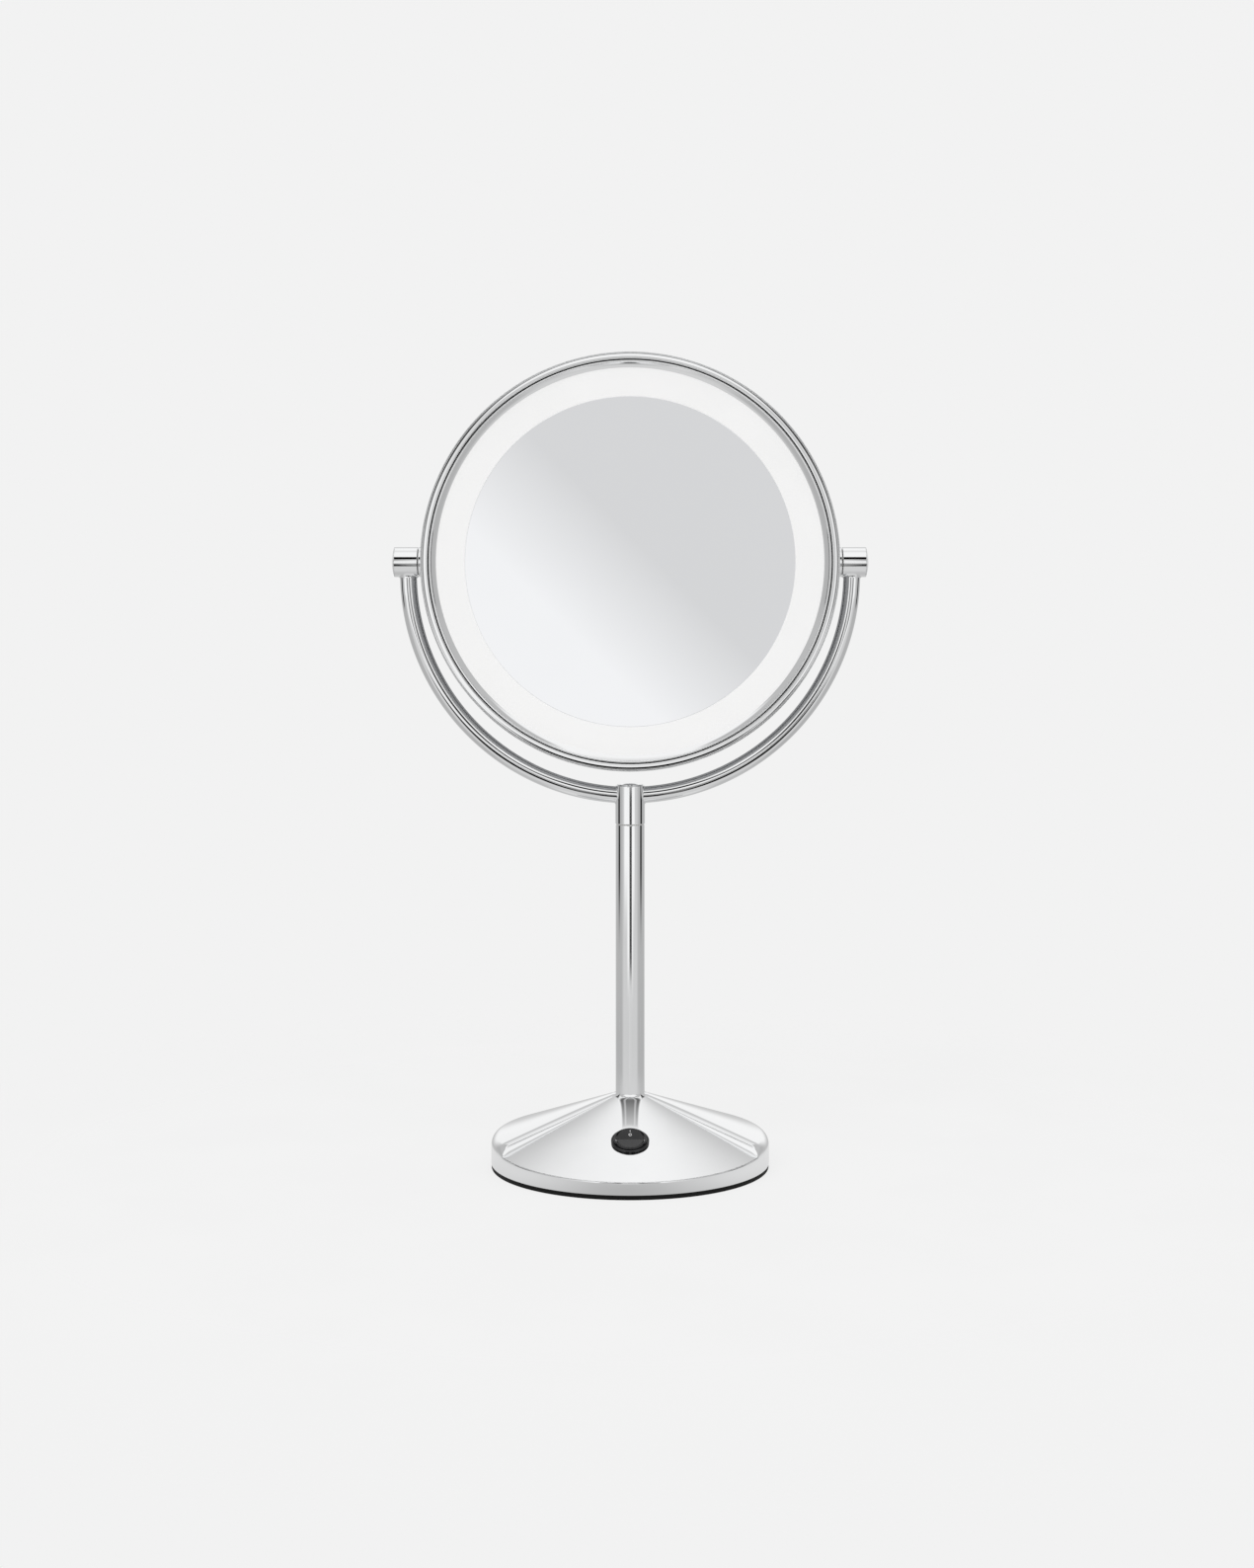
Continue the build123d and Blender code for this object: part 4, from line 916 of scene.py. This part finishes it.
def make_world():
    world = bpy.data.worlds.new("studio")
    bpy.context.scene.world = world
    world.use_nodes = True
    tree = world.node_tree
    tree.nodes.clear()
    direction = add_node(tree, "ShaderNodeTexCoord").outputs["Generated"]
    parts = add_node(tree, "ShaderNodeSeparateXYZ", (), [(0, direction)]).outputs
    to_degrees = 180 / math.pi
    forward = calc(tree, "MULTIPLY", parts[1], -1.0)
    azimuth = calc(tree, "MULTIPLY", calc(tree, "ARCTAN2", parts[0], forward), to_degrees)
    elevation = calc(tree, "MULTIPLY", calc(tree, "ARCSINE", parts[2]), to_degrees)
    size = calc(tree, "ABSOLUTE", azimuth)

    def inside(value, low, high, soft):
        rise = spread(tree, value, low - soft, low + soft, 0.0, 1.0)
        fall = spread(tree, value, high - soft, high + soft, 1.0, 0.0)
        return calc(tree, "MULTIPLY", rise, fall)

    def lay(base, mask, level):
        """level where mask is 1, base where it is 0."""
        drop = calc(tree, "MULTIPLY", calc(tree, "SUBTRACT", level, base), mask)
        return calc(tree, "ADD", base, drop)

    # upper sky, surround and floor light
    level = spread(tree, elevation, 20.0, 48.0, 0.66, 1.03)
    level = lay(level, spread(tree, elevation, 72.0, 86.0, 0.0, 1.0), 0.86)
    level = lay(level, spread(tree, elevation, -3.0, -14.0, 0.0, 1.0), 0.70)
    # the sides are greyer than the front and the back
    low_part = spread(tree, elevation, 14.0, 40.0, 1.0, 0.0)
    sides = calc(tree, "MULTIPLY", inside(size, 62.0, 150.0, 12.0), low_part)
    level = lay(level, sides, 0.50)
    behind = spread(tree, size, 140.0, 160.0, 0.0, 1.0)
    high_part = spread(tree, elevation, 29.0, 63.0, 0.0, 1.0)
    far = lay(spread(tree, elevation, 20.0, 26.0, 1.0, 0.62), high_part, 1.03)
    far = lay(far, spread(tree, elevation, 11.0, -4.0, 0.0, 1.0), 0.62)
    level = lay(level, behind, far)
    for az_low, az_high, az_soft, el_low, el_high, el_soft, value in CARDS:
        mask = calc(tree, "MULTIPLY", inside(azimuth, az_low, az_high, az_soft),
                    inside(elevation, el_low, el_high, el_soft))
        level = lay(level, mask, value)
    # graduated card that the flat glass reflects
    slope = calc(tree, "ADD", azimuth, calc(tree, "SUBTRACT", elevation, FLAT_GLASS_RISE))
    slope = calc(tree, "MULTIPLY", slope, 1 / sqrt(2.0))
    card = spread(tree, slope, -2.3, 0.45, 1.005, 0.634, False)
    window = calc(tree, "MULTIPLY", inside(azimuth, -4.6, 4.6, 0.25), inside(elevation, -3.2, 5.9, 0.25))
    level = lay(level, window, card)
    grey = add_node(tree, "ShaderNodeCombineColor", (), [(0, level), (1, level), (2, level)]).outputs[0]
    light = add_node(tree, "ShaderNodeBackground", (), [("Color", grey), ("Strength", 1.0)]).outputs[0]
    pale = add_node(tree, "ShaderNodeBackground", (),
                    [("Color", (BACKDROP, BACKDROP, BACKDROP, 1)), ("Strength", 1.0)]).outputs[0]
    seen = add_node(tree, "ShaderNodeLightPath").outputs["Is Camera Ray"]
    mixed = add_node(tree, "ShaderNodeMixShader", (), [(0, seen), (1, light), (2, pale)]).outputs[0]
    add_node(tree, "ShaderNodeOutputWorld", (), [("Surface", mixed)])


make_world()


def area_light(name, place, target, size, watts):
    data = bpy.data.lights.new(name, "AREA")
    data.shape = "RECTANGLE"
    data.size, data.size_y = size
    data.energy = watts
    light = bpy.data.objects.new(name, data)
    bpy.context.scene.collection.objects.link(light)
    light.location = place
    light.rotation_mode = "QUATERNION"
    light.rotation_quaternion = (Vector(target) - Vector(place)).to_track_quat("-Z", "Y")
    light.visible_glossy = False
    light.visible_camera = False


middle = (cad_box[0] + cad_box[1]) / 2
area_light("key", (-0.9, -1.3, 1.5), middle, (1.0, 1.0), 9.0)
area_light("fill", (1.2, -0.9, 0.9), middle, (1.2, 1.2), 4.0)

# --- Camera -------------------------------------------------------------------------------------
camera_data = bpy.data.cameras.new("camera")
camera = bpy.data.objects.new("camera", camera_data)
bpy.context.scene.collection.objects.link(camera)
bpy.context.scene.camera = camera
camera_data.sensor_width = 36.0
camera_data.lens = 52.48
camera_data.shift_x = -0.0020
camera_data.shift_y = -0.109
camera_data.dof.use_dof = False
camera.location = (0.0, -1.016, 0.2453)
camera.rotation_euler = (radians(90.0), 0.0, 0.0)
bpy.context.scene.view_settings.view_transform = "Standard"
